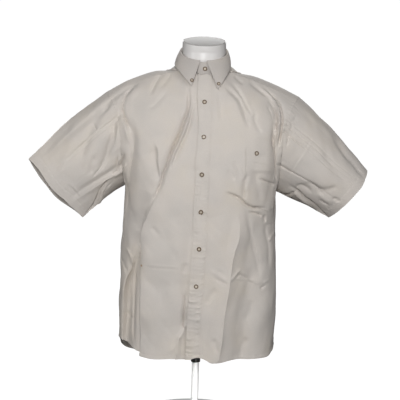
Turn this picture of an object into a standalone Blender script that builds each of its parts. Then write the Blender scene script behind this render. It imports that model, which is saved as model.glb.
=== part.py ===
"""A short-sleeve button-down shirt worn by a limbless dress form on a counter stand.

Metres, +Z up. The shirt's front faces -Y and the origin is under the middle of the stand.
"Right" and "left" in names are the wearer's, so the right front lies at negative X.
"""

import math

import bmesh
import bpy
import numpy as np
from mathutils import Vector
from mathutils.bvhtree import BVHTree

MM = 0.001

# Cloth
WALL = 1.2 * MM
COLLAR_WALL = 1.5 * MM
SEAM_GAP = 0.3 * MM

# How finely the sheets are divided
FRONT_COLUMNS = (3, 6, 14)
COLUMN_LEAN = 1.35
UPPER_ROWS = 6
UNDERARM_ROWS = 6
LOWER_ROWS = 16
BACK_COLUMNS = 26
BACK_UPPER_ROWS = 3
YOKE_COLUMNS = (7, 7)
YOKE_ROWS = 6
SLEEVE_ROWS = 8
BAND_COLUMNS = 44
BAND_ROWS = 2
FALL_HALF_COLUMNS = 16
FALL_ROWS = 4
POCKET_COLUMNS = 10
POCKET_ROWS = 9
FORM_AROUND = 32

# How far each piece's edge is drawn back from its seam
PULL = 0.3 * MM
SLEEVE_PULL = 0.5 * MM
YOKE_PULL = 0.5 * MM
PLACKET_PULL = 2.5 * MM

# Directions of the cloth down the upper back, and the step that finds the slope at the chest
BACK_FALL = (0, 0.22, -0.975)
JUST_BELOW = 6 * MM

# Levels above the table
HEM = 0.200
CHEST = 0.750
UNDERARM = 0.612
YOKE_BACK = 0.846
YOKE_BACK_Y = 0.103
SIDE_SEAM_Y = 0.008
SHOULDER_BOW = 4 * MM
YOKE_NECK_SHARE = 0.46
YOKE_FULLNESS = 1.15

# Body rings: height, half width, front depth, back depth, all in mm, and the outline's power
BODY_RINGS = (
    (150, 200, 152, 130, 3.0),
    (300, 204, 153, 126, 3.0),
    (450, 200, 154, 121, 3.0),
    (560, 196, 154, 121, 2.9),
    (612, 195, 153, 122, 2.9),
    (660, 209, 151, 123, 2.8),
    (700, 225, 147, 123, 2.7),
    (750, 243, 139, 120, 2.6),
)

# Hem height by the angle round the body from the front's centre, degrees and mm
HEM_BY_ANGLE = (
    (-180, 155),
    (-130, 163),
    (-95, 194),
    (-70, 202),
    (-48, 195),
    (-20, 192),
    (0, 195),
    (20, 187),
    (45, 192),
    (70, 198),
    (95, 196),
    (130, 163),
    (180, 155),
)

# Armhole seam of the left side from the shoulder tip down the front and up the back, mm
ARMHOLE = (
    (248, 5, 854),
    (241, -30, 845),
    (228, -60, 828),
    (214, -84, 795),
    (206, -94, 750),
    (203, -90, 706),
    (200, -70, 662),
    (197, -35, 627),
    (195, 8, 612),
    (199, 50, 630),
    (206, 84, 672),
    (214, 98, 725),
    (224, 97, 780),
    (236, 72, 828),
    (244, 38, 847),
)
ARMHOLE_FRONT_YOKE = 1
ARMHOLE_UNDERARM = 8
ARMHOLE_BACK_YOKE = 13

# The shoulders bow up between the neck and the sleeve, more on the wearer's right
SHOULDER_RISE = 4 * MM
RIGHT_SHOULDER_RISE = 9 * MM

# Neckline seam, an ellipse that rises towards the back
NECK_Y = -0.006
NECK_HALF = 0.068
NECK_SIDE_Z = 0.925
NECK_RISE = 0.019
NECK_YOKE_ANGLE = math.radians(58)

# Front opening: height and X of the middle of the placket, mm
PLACKET_MIDDLE = ((150, -11), (200, -10), (349, -5), (474, 1), (566, 3), (660, 3), (750, 5), (900, 4))
PLACKET_HALF = 16.5 * MM
PLACKET_WALL = 1.2 * MM
UNDERLAP_DROP = 2.4 * MM
UNDERLAP_RETURN = 0.35

# The line that the grid of each front follows, from the hem up to the chest: height and X, mm
RIGHT_LINE = (
    (150, -139),
    (200, -140),
    (340, -143),
    (430, -143),
    (511, -142),
    (542, -131),
    (593, -111),
    (648, -93),
    (700, -71),
    (750, -53),
)
LEFT_LINE = (
    (150, 54),
    (198, 59),
    (296, 68),
    (392, 78),
    (460, 89),
    (497, 97),
    (560, 100),
    (600, 109),
    (700, 113),
    (750, 116),
)
RIGHT_LINE_NECK = math.radians(26)
LEFT_LINE_NECK = math.radians(46)
RIGHT_NECK_COLUMNS = 4
LEFT_NECK_COLUMNS = 2

# Folds, each with the face it lies on, its kind, near and far widths in mm, and a path down the
# cloth in rows of X, height and depth in mm. A trough sinks, a ridge stands out, and a step falls
# away on the wearer's right of its path and comes back over the far width.
RIGHT_PLEAT = (
    (-106, 600, 0),
    (-122, 560, 12),
    (-142, 515, 24),
    (-143, 430, 30),
    (-143, 340, 31),
    (-140, 195, 29),
)
RIGHT_CHEST = ((-36, 850, 0), (-44, 800, 5), (-66, 730, 6), (-93, 660, 6), (-108, 610, 3), (-120, 570, 0))
LEFT_RIDGE = ((98, 580, 0), (97, 497, 5), (89, 460, 6), (78, 392, 7), (68, 296, 7), (59, 195, 7))
LEFT_HOLLOW = ((160, 620, 0), (150, 520, 10), (136, 400, 15), (126, 300, 16), (118, 195, 14))
RIGHT_ARMHOLE = (
    (-160, 860, 0),
    (-188, 825, 6),
    (-186, 775, 9),
    (-176, 730, 9),
    (-176, 670, 6),
    (-182, 600, 4),
    (-186, 520, 0),
)
LEFT_ARMHOLE = ((160, 860, 0), (186, 830, 6), (190, 780, 9), (188, 720, 8), (188, 660, 5), (188, 600, 0))
RIGHT_SLEEVE_OUTER = ((-262, 812, 0), (-271, 783, 6), (-286, 748, 8), (-299, 715, 8), (-311, 645, 0))
RIGHT_SLEEVE_INNER = ((-204, 808, 0), (-219, 772, 8), (-227, 738, 10), (-240, 695, 9), (-270, 640, 0))
LEFT_SLEEVE_TOP = ((240, 805, 0), (226, 782, 8), (213, 757, 9), (200, 733, 7), (190, 712, 0))
LEFT_SLEEVE_UNDER = ((238, 620, 0), (268, 627, 8), (300, 619, 9), (330, 617, 8), (362, 632, 0))
BACK_RIGHT = ((-78, 830, 0), (-82, 700, 6), (-90, 500, 12), (-98, 300, 15), (-102, 150, 15))
BACK_LEFT = ((70, 830, 0), (76, 700, 6), (84, 500, 12), (92, 300, 15), (96, 150, 15))
BACK_SLEEVE_RIGHT = ((-240, 790, 0), (-262, 730, 9), (-290, 670, 8), (-320, 620, 0))
BACK_SLEEVE_LEFT = ((240, 790, 0), (262, 730, 9), (290, 670, 8), (320, 620, 0))
FOLDS = (
    ("front", "step", 10, 38, RIGHT_PLEAT),
    ("front", "trough", 10, 10, RIGHT_CHEST),
    ("front", "ridge", 14, 14, LEFT_RIDGE),
    ("front", "trough", 34, 34, LEFT_HOLLOW),
    ("front", "trough", 14, 14, RIGHT_ARMHOLE),
    ("front", "trough", 14, 14, LEFT_ARMHOLE),
    ("front", "trough", 12, 12, RIGHT_SLEEVE_OUTER),
    ("front", "trough", 13, 13, RIGHT_SLEEVE_INNER),
    ("front", "trough", 13, 13, LEFT_SLEEVE_TOP),
    ("front", "trough", 12, 12, LEFT_SLEEVE_UNDER),
    ("back", "trough", 22, 22, BACK_RIGHT),
    ("back", "trough", 22, 22, BACK_LEFT),
    ("back", "trough", 16, 16, BACK_SLEEVE_RIGHT),
    ("back", "trough", 16, 16, BACK_SLEEVE_LEFT),
)

# Cuffs: the upper and lower corners and the bow of the front and back edges, mm
RIGHT_CUFF = {
    "top": (-444, -22, 676),
    "bottom": (-301, -38, 531),
    "front": 32,
    "back": 40,
    "front_out": 8,
    "back_out": 12,
    "axis": (-0.68, -0.24, -0.69),
}
LEFT_CUFF = {
    "top": (436, 22, 666),
    "bottom": (335, -2, 543),
    "front": 58,
    "back": 58,
    "front_out": 2,
    "back_out": 0,
    "axis": (0.77, 0.10, -0.63),
}
SLEEVE_SWELL = 0.08
SLEEVE_TUCK = 0.03

# Collar: the fall's edge by the angle round the neck from the front in degrees, then X, Y and Z in mm
BAND_ANGLE_OVER = math.radians(12)
BAND_FRONT_HEIGHT = 0.030
BAND_BACK_HEIGHT = 0.040
BAND_TOP_HALF = 0.0585
BAND_LAP = 1.2 * MM
BAND_LIFT = 0.5 * MM
ROLL_RADIUS = 3.0 * MM
ROLL_LIFT = 1.2 * MM
ROLL_TURNS = (0, 60, 120, 180)
FALL_BELLY = 2.0 * MM
FALL_EDGE = (
    (7.5, -33, -101, 876),
    (22, -44, -94, 890),
    (45, -60, -74, 907),
    (70, -73, -42, 922),
    (98, -77, 0, 929),
    (125, -71, 34, 934),
    (152, -46, 62, 940),
    (180, 0, 74, 942),
)

# Pocket on the left front: its corner nearest the placket, its width as seen, and its pointed foot
POCKET_X = 0.110
POCKET_TOP = 0.730
POCKET_WIDTH = 0.074
POCKET_FOOT_X = 0.171
POCKET_FOOT_Z = 0.567
POCKET_FOOT_RISE = 0.34
POCKET_LIFT = 1.3 * MM
POCKET_BUTTON = (0.1375, 0.714)

# Buttons: the height of each on the placket, and the places of the others
BUTTON_RADIUS = 5.8 * MM
SMALL_BUTTON_RADIUS = 4.6 * MM
BUTTON_THICK = 2.4 * MM
BUTTON_GAP = 0.4 * MM
BUTTON_STEPS = 12
BUTTON_PROFILE = ((0, 0.72), (0.62, 0.72), (0.78, 1), (0.92, 1), (1, 0.75), (0.96, 0.2), (0.7, 0), (0, 0))
PLACKET_BUTTON_Z = (0.837, 0.7515, 0.659, 0.566, 0.4735, 0.379)
NECK_BUTTON_X = 0.0034
NECK_BUTTON_Z = 0.919
COLLAR_BUTTON_X = 0.0335
COLLAR_BUTTON_Z = 0.888

# Dress form and its stand
FORM_RINGS = (
    (300, 148, 98, 92),
    (340, 156, 106, 98),
    (420, 156, 108, 98),
    (500, 147, 104, 92),
    (570, 150, 110, 95),
    (640, 160, 116, 100),
    (710, 172, 116, 103),
    (770, 184, 108, 102),
    (815, 197, 94, 92),
    (845, 201, 78, 78),
    (866, 190, 68, 70),
    (880, 170, 61, 65),
    (890, 139, 56, 62),
    (901.5, 104, 55, 60),
    (912, 78, 56, 57),
    (922, 60, 57, 50),
    (940, 54.5, 57.5, 46.5),
    (964, 54, 57, 45.5),
    (986.4, 54, 57, 45.5),
)
FORM_POWER = 2.15
FORM_BOTTOM = 0.300
NECK_TILT = math.radians(14)
NECK_TILT_FROM = 0.945
CAP_Z = 0.9867
CAP_Y = -0.006
CAP_RADIUS = 0.055
CAP_THICK = 4 * MM
SOCKET_RADIUS = 12.5 * MM
SOCKET_BOTTOM = 0.152
POLE_RADIUS = 9.5 * MM
BASE_RADIUS = 0.150
BASE_THICK = 0.012
BASE_EDGE = 3 * MM
CAP_EDGE = 1 * MM
TOUCH = 0.3 * MM

COLOURS = {
    "cloth": ((0.62, 0.57, 0.52), 0.9, 0.0),
    "button": ((0.30, 0.23, 0.17), 0.35, 0.0),
    "form": ((0.86, 0.83, 0.79), 0.35, 0.0),
    "cap": ((0.52, 0.50, 0.48), 0.5, 0.0),
    "socket": ((0.03, 0.03, 0.03), 0.5, 0.0),
    "stand": ((0.85, 0.85, 0.84), 0.4, 0.0),
}


def slopes(at, values):
    """Slopes for a smooth curve through rows of values, flat where a column turns."""
    step = np.diff(at)[:, None]
    rise = np.diff(values, axis=0) / step
    found = np.vstack([rise[:1], np.zeros_like(rise[1:]), rise[-1:]])
    product = rise[:-1] * rise[1:]
    with np.errstate(divide="ignore", invalid="ignore"):
        mean = 2 * product / (rise[:-1] + rise[1:])
    found[1:-1] = np.where(product > 0, mean, 0.0)
    return found


def hermite(at, values, tangents, where):
    """The cubic curve through rows of values at the places asked for."""
    where = np.clip(np.asarray(where, float), at[0], at[-1])
    k = np.clip(np.searchsorted(at, where, side="right") - 1, 0, len(at) - 2)
    width = (at[k + 1] - at[k])[..., None]
    u = (where - at[k])[..., None] / width
    h00 = 2 * u**3 - 3 * u**2 + 1
    h10 = u**3 - 2 * u**2 + u
    h01 = 3 * u**2 - 2 * u**3
    h11 = u**3 - u**2
    return h00 * values[k] + h10 * width * tangents[k] + h01 * values[k + 1] + h11 * width * tangents[k + 1]


def look_up(rows, where):
    """Values of a table at places in its first column, with no overshoot between rows."""
    table = np.array(rows, float)
    return hermite(table[:, 0], table[:, 1:], slopes(table[:, 0], table[:, 1:]), where)


def through(points, share, closed=False):
    """Points on a smooth curve through the given ones, at shares of the way along it."""
    p = np.array(points, float)
    if closed:
        p = np.vstack([p[-2:], p, p[:3]])
    at = np.concatenate([[0], np.cumsum(np.linalg.norm(np.diff(p, axis=0), axis=1))])
    tangents = np.gradient(p, at, axis=0)
    if closed:
        first, last = at[2], at[-3]
    else:
        first, last = at[0], at[-1]
    return hermite(at, p, tangents, first + (last - first) * np.asarray(share, float))


def smooth_step(x, low, high):
    """0 below low, 1 above high and smooth between."""
    u = np.clip((x - low) / (high - low), 0, 1)
    return u * u * (3 - 2 * u)


def unit(v):
    """Vectors made one long."""
    return v / np.maximum(np.linalg.norm(v, axis=-1, keepdims=True), 1e-12)


def body_point(angle, z):
    """A point of the unfolded body at an angle from the front's centre and a height."""
    half, front, back, power = np.moveaxis(look_up(BODY_RINGS, np.asarray(z) / MM), -1, 0)
    ahead = np.cos(angle) >= 0
    depth = np.where(ahead, front * MM + SIDE_SEAM_Y, back * MM - SIDE_SEAM_Y)
    reach = (np.abs(np.sin(angle)) / (half * MM)) ** power + (np.abs(np.cos(angle)) / depth) ** power
    radius = reach ** (-1 / power)
    return np.stack([radius * np.sin(angle), SIDE_SEAM_Y - radius * np.cos(angle), z + 0 * angle], axis=-1)


def angle_at_x(x, z):
    """The angle at which the front half of the body ring has this X."""
    half, front, _, power = np.moveaxis(look_up(BODY_RINGS, np.asarray(z) / MM), -1, 0)
    depth = front * MM + SIDE_SEAM_Y
    forward = depth * (1 - np.clip(np.abs(x) / (half * MM), 0, 0.999) ** power) ** (1 / power)
    return np.arctan2(x, forward)


def angle_at_y(y, z, ahead):
    """The positive angle at which the body ring has this Y, on its front or back half."""
    half, front, back, power = np.moveaxis(look_up(BODY_RINGS, np.asarray(z) / MM), -1, 0)
    depth = np.where(ahead, front * MM + SIDE_SEAM_Y, back * MM - SIDE_SEAM_Y)
    away = np.abs(y - SIDE_SEAM_Y)
    x = half * MM * (1 - np.clip(away / depth, 0, 0.999) ** power) ** (1 / power)
    return np.arctan2(x, SIDE_SEAM_Y - y)


def armhole_piece(first, last, share):
    """Points of the left armhole seam between two of its rows."""
    count = len(ARMHOLE)
    fine = through(ARMHOLE, np.linspace(0, 1, 60 * count + 1), closed=True) * MM
    rows = np.array(ARMHOLE, float) * MM
    ends = [int(np.argmin(np.linalg.norm(fine[:-1] - rows[k % count], axis=1))) for k in (first, last)]
    if ends[1] <= ends[0]:
        fine = np.vstack([fine[:-1], fine])
        ends[1] += len(fine) // 2
    piece = fine[ends[0]:ends[1] + 1]
    at = np.concatenate([[0], np.cumsum(np.linalg.norm(np.diff(piece, axis=0), axis=1))])
    return np.stack([np.interp(np.asarray(share) * at[-1], at, piece[:, k]) for k in range(3)], axis=-1)


def armhole_at_height(z, first, last):
    """The armhole seam's point at each height, on its front or back half."""
    piece = armhole_piece(first, last, np.linspace(0, 1, 200))
    if piece[0, 2] > piece[-1, 2]:
        piece = piece[::-1]
    return np.stack([np.interp(z, piece[:, 2], piece[:, k]) for k in range(3)], axis=-1)


def raised(points):
    """Points lifted where they lie on a shoulder, between the neck and the sleeve."""
    x, z = points[..., 0], points[..., 2]
    along = smooth_step(np.abs(x), 0.060, 0.125) * (1 - smooth_step(np.abs(x), 0.185, 0.262))
    rise = np.where(x < 0, RIGHT_SHOULDER_RISE, SHOULDER_RISE) * along * smooth_step(z, 0.79, 0.86)
    return points + np.stack([0 * x, 0 * x, rise], axis=-1)


def neckline(angle):
    """The neckline seam at an angle round the neck from its front."""
    x = NECK_HALF * np.sin(angle)
    y = NECK_Y - NECK_HALF * np.cos(angle)
    return np.stack([x, y, NECK_SIDE_Z - NECK_RISE * np.cos(angle)], axis=-1)


def distance_to(path, x, z):
    """Signed distance of points from a path seen from the front, and the depth there."""
    rows = np.array(path, float)
    fine = through(rows, np.linspace(0, 1, 24 * len(rows)))
    start, end = fine[:-1], fine[1:]
    best = np.full(x.shape, np.inf)
    signed = np.zeros(x.shape)
    depth = np.zeros(x.shape)
    for a, b in zip(start, end):
        run = b[:2] - a[:2]
        share = np.clip(((x - a[0]) * run[0] + (z - a[1]) * run[1]) / (run @ run), 0, 1)
        off_x = x - a[0] - share * run[0]
        off_z = z - a[1] - share * run[1]
        far = np.hypot(off_x, off_z)
        nearer = far < best
        best = np.where(nearer, far, best)
        side = np.sign(off_z * run[0] - off_x * run[1])
        signed = np.where(nearer, far * side, signed)
        depth = np.where(nearer, a[2] + share * (b[2] - a[2]), depth)
    return signed, depth


def fold_height(points, normals):
    """How far the folds move each point along its normal."""
    x, z = points[..., 0] / MM, points[..., 2] / MM
    height = np.zeros(x.shape)
    facing = {
        "front": smooth_step(-normals[..., 1], 0.02, 0.30),
        "back": smooth_step(normals[..., 1], 0.02, 0.30),
    }
    for face, kind, near, far, path in FOLDS:
        signed, depth = distance_to(path, x, z)
        if kind == "trough":
            shape = -np.exp(-((signed / near) ** 2))
        elif kind == "ridge":
            shape = np.exp(-np.abs(signed) / near)
        else:
            beyond = np.clip(-signed, 0, None)
            shape = -(1 - np.exp(-((beyond / near) ** 2))) * np.exp(-((beyond / far) ** 2))
        height += shape * depth * facing[face]
    return height * MM


def grid_normals(grid, closed=False):
    """Outward unit normals of a grid of points whose rows run down and columns round."""
    if closed:
        across = np.roll(grid, -1, axis=1) - np.roll(grid, 1, axis=1)
    else:
        across = np.gradient(grid, axis=1)
    return unit(np.cross(np.gradient(grid, axis=0), across))


def folded(grid, outward, fade, closed=False):
    """The grid with its folds: outward turns the normals out and fade holds the seams still."""
    normals = grid_normals(grid, closed) * outward
    return grid + normals * (fold_height(grid, normals) * fade)[..., None]


def front_columns():
    """Column places over the spans between a front's guide lines, closest together at the third line."""
    counts = FRONT_COLUMNS
    lap = np.linspace(0, 1, counts[0] + 1)
    inner = 2 - np.linspace(1, 0, counts[1] + 1)[1:] ** COLUMN_LEAN
    outer = 2 + np.linspace(0, 1, counts[2] + 1)[1:] ** COLUMN_LEAN
    return np.concatenate([lap, inner, outer])


def level_rows(bottom, first, last):
    """Shares of the way from the chest to the hem, evenly spread along the armhole and below it."""
    seam = armhole_piece(first, last, np.linspace(0, 1, 400))
    if seam[0, 2] < seam[-1, 2]:
        seam = seam[::-1]
    seam = seam[int(np.argmin(np.abs(seam[:, 2] - CHEST))):]
    heights = seam[np.linspace(0, len(seam) - 1, UNDERARM_ROWS + 1).astype(int), 2]
    above = (CHEST - heights) / (CHEST - bottom)
    above[0] = 0
    above[-1] = (CHEST - UNDERARM) / (CHEST - bottom)
    return np.concatenate([above, np.linspace(above[-1], 1, LOWER_ROWS - UNDERARM_ROWS + 1)[1:]])


def blend(first, first_slope, last, last_slope, rows):
    """Rows of points from one line to another, leaving and arriving along the given slopes."""
    length = np.linalg.norm(last - first, axis=1)[:, None]
    u = np.linspace(0, 1, rows + 1)[:, None, None]
    return (
        (2 * u**3 - 3 * u**2 + 1) * first
        + (u**3 - 2 * u**2 + u) * first_slope * length
        + (3 * u**2 - 2 * u**3) * last
        + (u**3 - u**2) * last_slope * length
    )


def front_grid(side):
    """Outer points of a front panel: side is -1 for the wearer's right and 1 for the left."""
    if side < 0:
        line, line_neck, past_line = RIGHT_LINE, RIGHT_LINE_NECK, RIGHT_NECK_COLUMNS
    else:
        line, line_neck, past_line = LEFT_LINE, LEFT_LINE_NECK, LEFT_NECK_COLUMNS
    c = front_columns()
    outer = np.clip(c - 2, 0, 1)

    def columns_at(z, edge):
        middle = look_up(PLACKET_MIDDLE, z / MM)[..., 0] * MM
        lap_edge = angle_at_x(middle - side * PLACKET_HALF, z)
        placket_edge = angle_at_x(middle + side * PLACKET_HALF, z)
        fold_line = angle_at_x(look_up(line, z / MM)[..., 0] * MM, z)
        span = np.minimum(c.astype(int), 2)
        marks = np.stack([lap_edge, placket_edge, fold_line, side * edge + 0 * z])
        before = np.take_along_axis(marks, span[None], axis=0)[0]
        after = np.take_along_axis(marks, span[None] + 1, axis=0)[0]
        return before + (after - before) * (c - span)

    def at_level(z):
        edge = math.pi / 2
        seam = None
        if z[-1] > UNDERARM + 1e-9:
            seam = armhole_at_height(z[-1], ARMHOLE_FRONT_YOKE, ARMHOLE_UNDERARM) * (side, 1, 1)
            edge = float(angle_at_y(seam[1], z[-1], True))
        points = body_point(columns_at(z, edge), z)
        if seam is not None:
            points = points + (seam - points[-1]) * (outer**3)[:, None]
        return points

    hem = look_up(HEM_BY_ANGLE, np.degrees(columns_at(np.full(len(c), HEM), math.pi / 2)))[..., 0] * MM
    shares = level_rows(hem[-1], ARMHOLE_FRONT_YOKE, ARMHOLE_UNDERARM)
    lower = np.array([at_level(CHEST - (CHEST - hem) * share) for share in shares])
    below = at_level(np.full(len(c), CHEST - JUST_BELOW))

    neck_column = FRONT_COLUMNS[0] + FRONT_COLUMNS[1] + past_line
    inside = np.arange(len(c)) <= neck_column
    middle = look_up(PLACKET_MIDDLE, 900)[0] * MM
    marks = [math.asin(side * middle / NECK_HALF + share * PLACKET_HALF / NECK_HALF) for share in (-1, 1)]
    neck_angles = np.interp(c[inside], [0, 1, 2, c[neck_column]], [*marks, line_neck, NECK_YOKE_ANGLE])
    neck = neckline(neck_angles * side)
    seam_end = np.array(ARMHOLE[ARMHOLE_FRONT_YOKE], float) * MM * (side, 1, 1)
    along = ((c[~inside] - c[neck_column]) / (3 - c[neck_column]))[:, None]
    top = np.vstack([neck, shoulder_seam(neck[-1], seam_end, along)])
    toward_yoke = np.clip(np.abs(neck_angles) / NECK_YOKE_ANGLE, 0, 1)
    lean = 0.62 + 0.18 * np.concatenate([toward_yoke, 1 - along[:, 0]])
    fall = unit(np.stack([0 * c, -lean, lean - 1.4], axis=-1))
    upper = blend(top, fall, lower[0], unit(below - lower[0]), UPPER_ROWS)[:-1]
    edge = armhole_rows(ARMHOLE_FRONT_YOKE, ARMHOLE_UNDERARM, UPPER_ROWS) * (side, 1, 1)
    upper = upper + (edge - upper[:, -1])[:, None, :] * (outer**3)[None, :, None]
    grid = np.vstack([upper, lower])
    top_fade = smooth_step(np.arange(len(grid)), 0, 2)[:, None]
    edge_fade = 1 - smooth_step(c, c[-4], 3)[None, :]
    return folded(grid, side, top_fade * edge_fade)


def shoulder_seam(start, end, along):
    """Points on the seam between a front and the yoke, which bows forward a little."""
    points = start + (end - start) * along
    points[:, 1] -= SHOULDER_BOW * np.sin(np.pi * along[:, 0])
    return points


def armhole_rows(first, last, rows):
    """The armhole seam's points from an end at the yoke to the chest, without the last one."""
    seam = armhole_piece(first, last, np.linspace(0, 1, 400))
    if seam[0, 2] < seam[-1, 2]:
        seam = seam[::-1]
    to_chest = seam[: int(np.argmin(np.abs(seam[:, 2] - CHEST))) + 1]
    picks = np.linspace(0, len(to_chest) - 1, rows + 1)[:-1]
    return np.stack([np.interp(picks, np.arange(len(to_chest)), to_chest[:, k]) for k in range(3)], axis=-1)


def back_grid():
    """Outer points of the back panel, from the wearer's left round to the right."""
    c = np.linspace(-1, 1, BACK_COLUMNS + 1)
    weight = np.abs(c) ** 5

    def at_level(z):
        edge = math.pi / 2
        seam = None
        if z[-1] > UNDERARM + 1e-9:
            seam = armhole_at_height(z[-1], ARMHOLE_UNDERARM, ARMHOLE_BACK_YOKE)
            edge = float(angle_at_y(seam[1], z[-1], False))
        points = body_point(math.pi + (math.pi - edge) * c, z)
        if seam is not None:
            points = points + (seam - points[0]) * (weight * (c < 0))[:, None]
            points = points + (seam * (-1, 1, 1) - points[-1]) * (weight * (c > 0))[:, None]
        return points

    angles = np.degrees(math.pi + math.pi / 2 * c)
    hem = look_up(HEM_BY_ANGLE, (angles + 180) % 360 - 180)[..., 0] * MM
    shares = level_rows(hem[-1], ARMHOLE_UNDERARM, ARMHOLE_BACK_YOKE)
    lower = np.array([at_level(CHEST - (CHEST - hem) * share) for share in shares])
    below = at_level(np.full(len(c), CHEST - JUST_BELOW))
    fall = np.broadcast_to(BACK_FALL, (len(c), 3))
    upper = blend(back_seam(c), fall, lower[0], unit(below - lower[0]), BACK_UPPER_ROWS)[:-1]
    edge = armhole_rows(ARMHOLE_UNDERARM, ARMHOLE_BACK_YOKE, BACK_UPPER_ROWS)
    upper = upper + (edge - upper[:, 0])[:, None, :] * (weight * (c < 0))[None, :, None]
    upper = upper + (edge * (-1, 1, 1) - upper[:, -1])[:, None, :] * (weight * (c > 0))[None, :, None]
    grid = np.vstack([upper, lower])
    top_fade = smooth_step(np.arange(len(grid)), 0, 2)[:, None]
    return folded(grid, 1, top_fade * (1 - smooth_step(np.abs(c), 0.85, 1))[None, :])


def back_seam(c):
    """The seam between the yoke and the back, from the wearer's left at -1 to the right at 1."""
    end = np.array(ARMHOLE[ARMHOLE_BACK_YOKE], float) * MM
    x = -end[0] * c
    y = end[1] + (YOKE_BACK_Y - end[1]) * (1 - np.abs(c) ** 2.4)
    z = end[2] + (YOKE_BACK - end[2]) * (1 - np.abs(c) ** 2)
    return np.stack([x, y, z], axis=-1)


def yoke_grid():
    """Outer points of the yoke, from its front edges over the shoulders to the back seam."""
    inner = np.linspace(0, YOKE_NECK_SHARE, YOKE_COLUMNS[0] + 1)
    half = np.concatenate([inner, np.linspace(YOKE_NECK_SHARE, 1, YOKE_COLUMNS[1] + 1)[1:]])
    c = np.concatenate([-half[::-1], half[1:]])
    size = np.abs(c)
    mirror = np.stack([np.where(c > 0, -1.0, 1.0), 1 + 0 * c, 1 + 0 * c], axis=-1)
    on_neck = np.clip(size / YOKE_NECK_SHARE, 0, 1)
    angle = math.pi - (math.pi - NECK_YOKE_ANGLE) * on_neck
    neck = neckline(angle)
    end = np.array(ARMHOLE[ARMHOLE_FRONT_YOKE], float) * MM
    along = np.clip((size - YOKE_NECK_SHARE) / (1 - YOKE_NECK_SHARE), 0, 1)[:, None]
    seam = shoulder_seam(neckline(np.array(NECK_YOKE_ANGLE)), end, along)
    beside_neck = (size <= YOKE_NECK_SHARE)[:, None]
    top = np.where(beside_neck, neck, seam) * mirror
    bottom = back_seam(c)
    neck_start = np.stack([0.75 * np.sin(angle), 0.8 - 0.5 * np.cos(angle), -0.45 + 0.45 * on_neck**3], axis=-1)
    from_neck = smooth_step(along[:, 0], 0, 0.5)
    seam_start = np.stack([0.5 * (1 - from_neck), 0.80 + 0 * c, 0.45 * from_neck], axis=-1)
    start = unit(np.where(beside_neck, neck_start, seam_start)) * mirror
    finish = np.broadcast_to(BACK_FALL, (len(c), 3))
    grid = blend(top, YOKE_FULLNESS * start, bottom, YOKE_FULLNESS * finish, YOKE_ROWS)
    edge = armhole_piece(ARMHOLE_BACK_YOKE, len(ARMHOLE) + ARMHOLE_FRONT_YOKE, np.linspace(1, 0, YOKE_ROWS + 1))
    weight = np.clip((size - 0.55) / 0.45, 0, 1) ** 2
    grid = grid + (edge - grid[:, 0])[:, None, :] * (weight * (c < 0))[None, :, None]
    return grid + (edge * (-1, 1, 1) - grid[:, -1])[:, None, :] * (weight * (c > 0))[None, :, None]


def cuff_ring(cuff, share):
    """The cuff's open edge, a flattened ring from its upper corner down the front and up the back."""
    top, bottom = np.array(cuff["top"]) * MM, np.array(cuff["bottom"]) * MM
    axis = unit(np.array(cuff["axis"], float))
    long = (top - bottom) / 2
    forward = unit(np.cross(long, axis))
    forward = forward * -np.sign(forward[1])
    angle = 2 * np.pi * np.asarray(share)
    ahead = np.sin(angle) > 0
    depth = np.where(ahead, cuff["front"], cuff["back"]) * MM
    bow = depth * np.sign(np.sin(angle)) * np.abs(np.sin(angle)) ** 0.9
    out = np.where(ahead, cuff["front_out"], cuff["back_out"]) * MM * np.sin(angle) ** 2
    middle = (top + bottom) / 2
    return middle + np.cos(angle)[:, None] * long + bow[:, None] * forward + out[:, None] * axis


def armhole_ring(side, front, back, yoke):
    """The panels' points on an armhole, from the front end of the yoke down and round."""
    underarm = UPPER_ROWS + UNDERARM_ROWS
    back_underarm = BACK_UPPER_ROWS + UNDERARM_ROWS
    column = 0 if side > 0 else -1
    return np.vstack([front[:underarm, -1], back[back_underarm:0:-1, column], yoke[:0:-1, column]])


def sleeve_grid(side, armhole):
    """Outer points of a sleeve from the armhole's ring of points to the cuff."""
    around = np.vstack([armhole, armhole[:1]])
    at = np.concatenate([[0], np.cumsum(np.linalg.norm(np.diff(around, axis=0), axis=1))])
    shoulder = raised(np.array(ARMHOLE[0], float) * MM * (side, 1, 1))
    first = at[int(np.argmin(np.linalg.norm(armhole - shoulder, axis=1)))] - at[-1]
    under = at[int(np.argmin(armhole[:, 2]))]
    walk = at[:-1]
    share = np.where(
        walk <= under,
        0.5 * (walk - first) / (under - first),
        0.5 + 0.5 * (walk - under) / (at[-1] + first - under),
    )
    cuff = cuff_ring(RIGHT_CUFF if side < 0 else LEFT_CUFF, share)
    t = np.linspace(0, 1, SLEEVE_ROWS + 1)[:, None, None]
    grid = armhole * (1 - t) + cuff * t
    middle = grid.mean(axis=1, keepdims=True)
    upper = (0.5 + 0.5 * np.cos(2 * np.pi * share))[None, :, None]
    swell = 1 + np.sin(np.pi * t) * (SLEEVE_SWELL * upper - SLEEVE_TUCK * (1 - upper))
    grid = middle + (grid - middle) * swell
    fade = smooth_step(t[..., 0], 0, 0.22) * (1 - 0.5 * smooth_step(t[..., 0], 0.7, 1))
    return folded(grid, -side, fade, closed=True)


def band_grid():
    """Outer points of the collar band, from its left end round the neck to the end that laps under."""
    angle = np.linspace(-BAND_ANGLE_OVER, 2 * np.pi + BAND_ANGLE_OVER, BAND_COLUMNS + 1)
    share = np.linspace(0, 1, BAND_COLUMNS + 1)
    outward = np.stack([np.sin(angle), -np.cos(angle), 0 * angle], axis=-1)
    foot = neckline(angle) + BAND_LAP * (1 - 2 * share)[:, None] * outward + (0, 0, BAND_LIFT)
    head = band_top(angle) + BAND_LAP * (1 - 2 * share)[:, None] * outward
    t = np.linspace(0, 1, BAND_ROWS + 1)[:, None, None]
    return head * (1 - t) + foot * t


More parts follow.
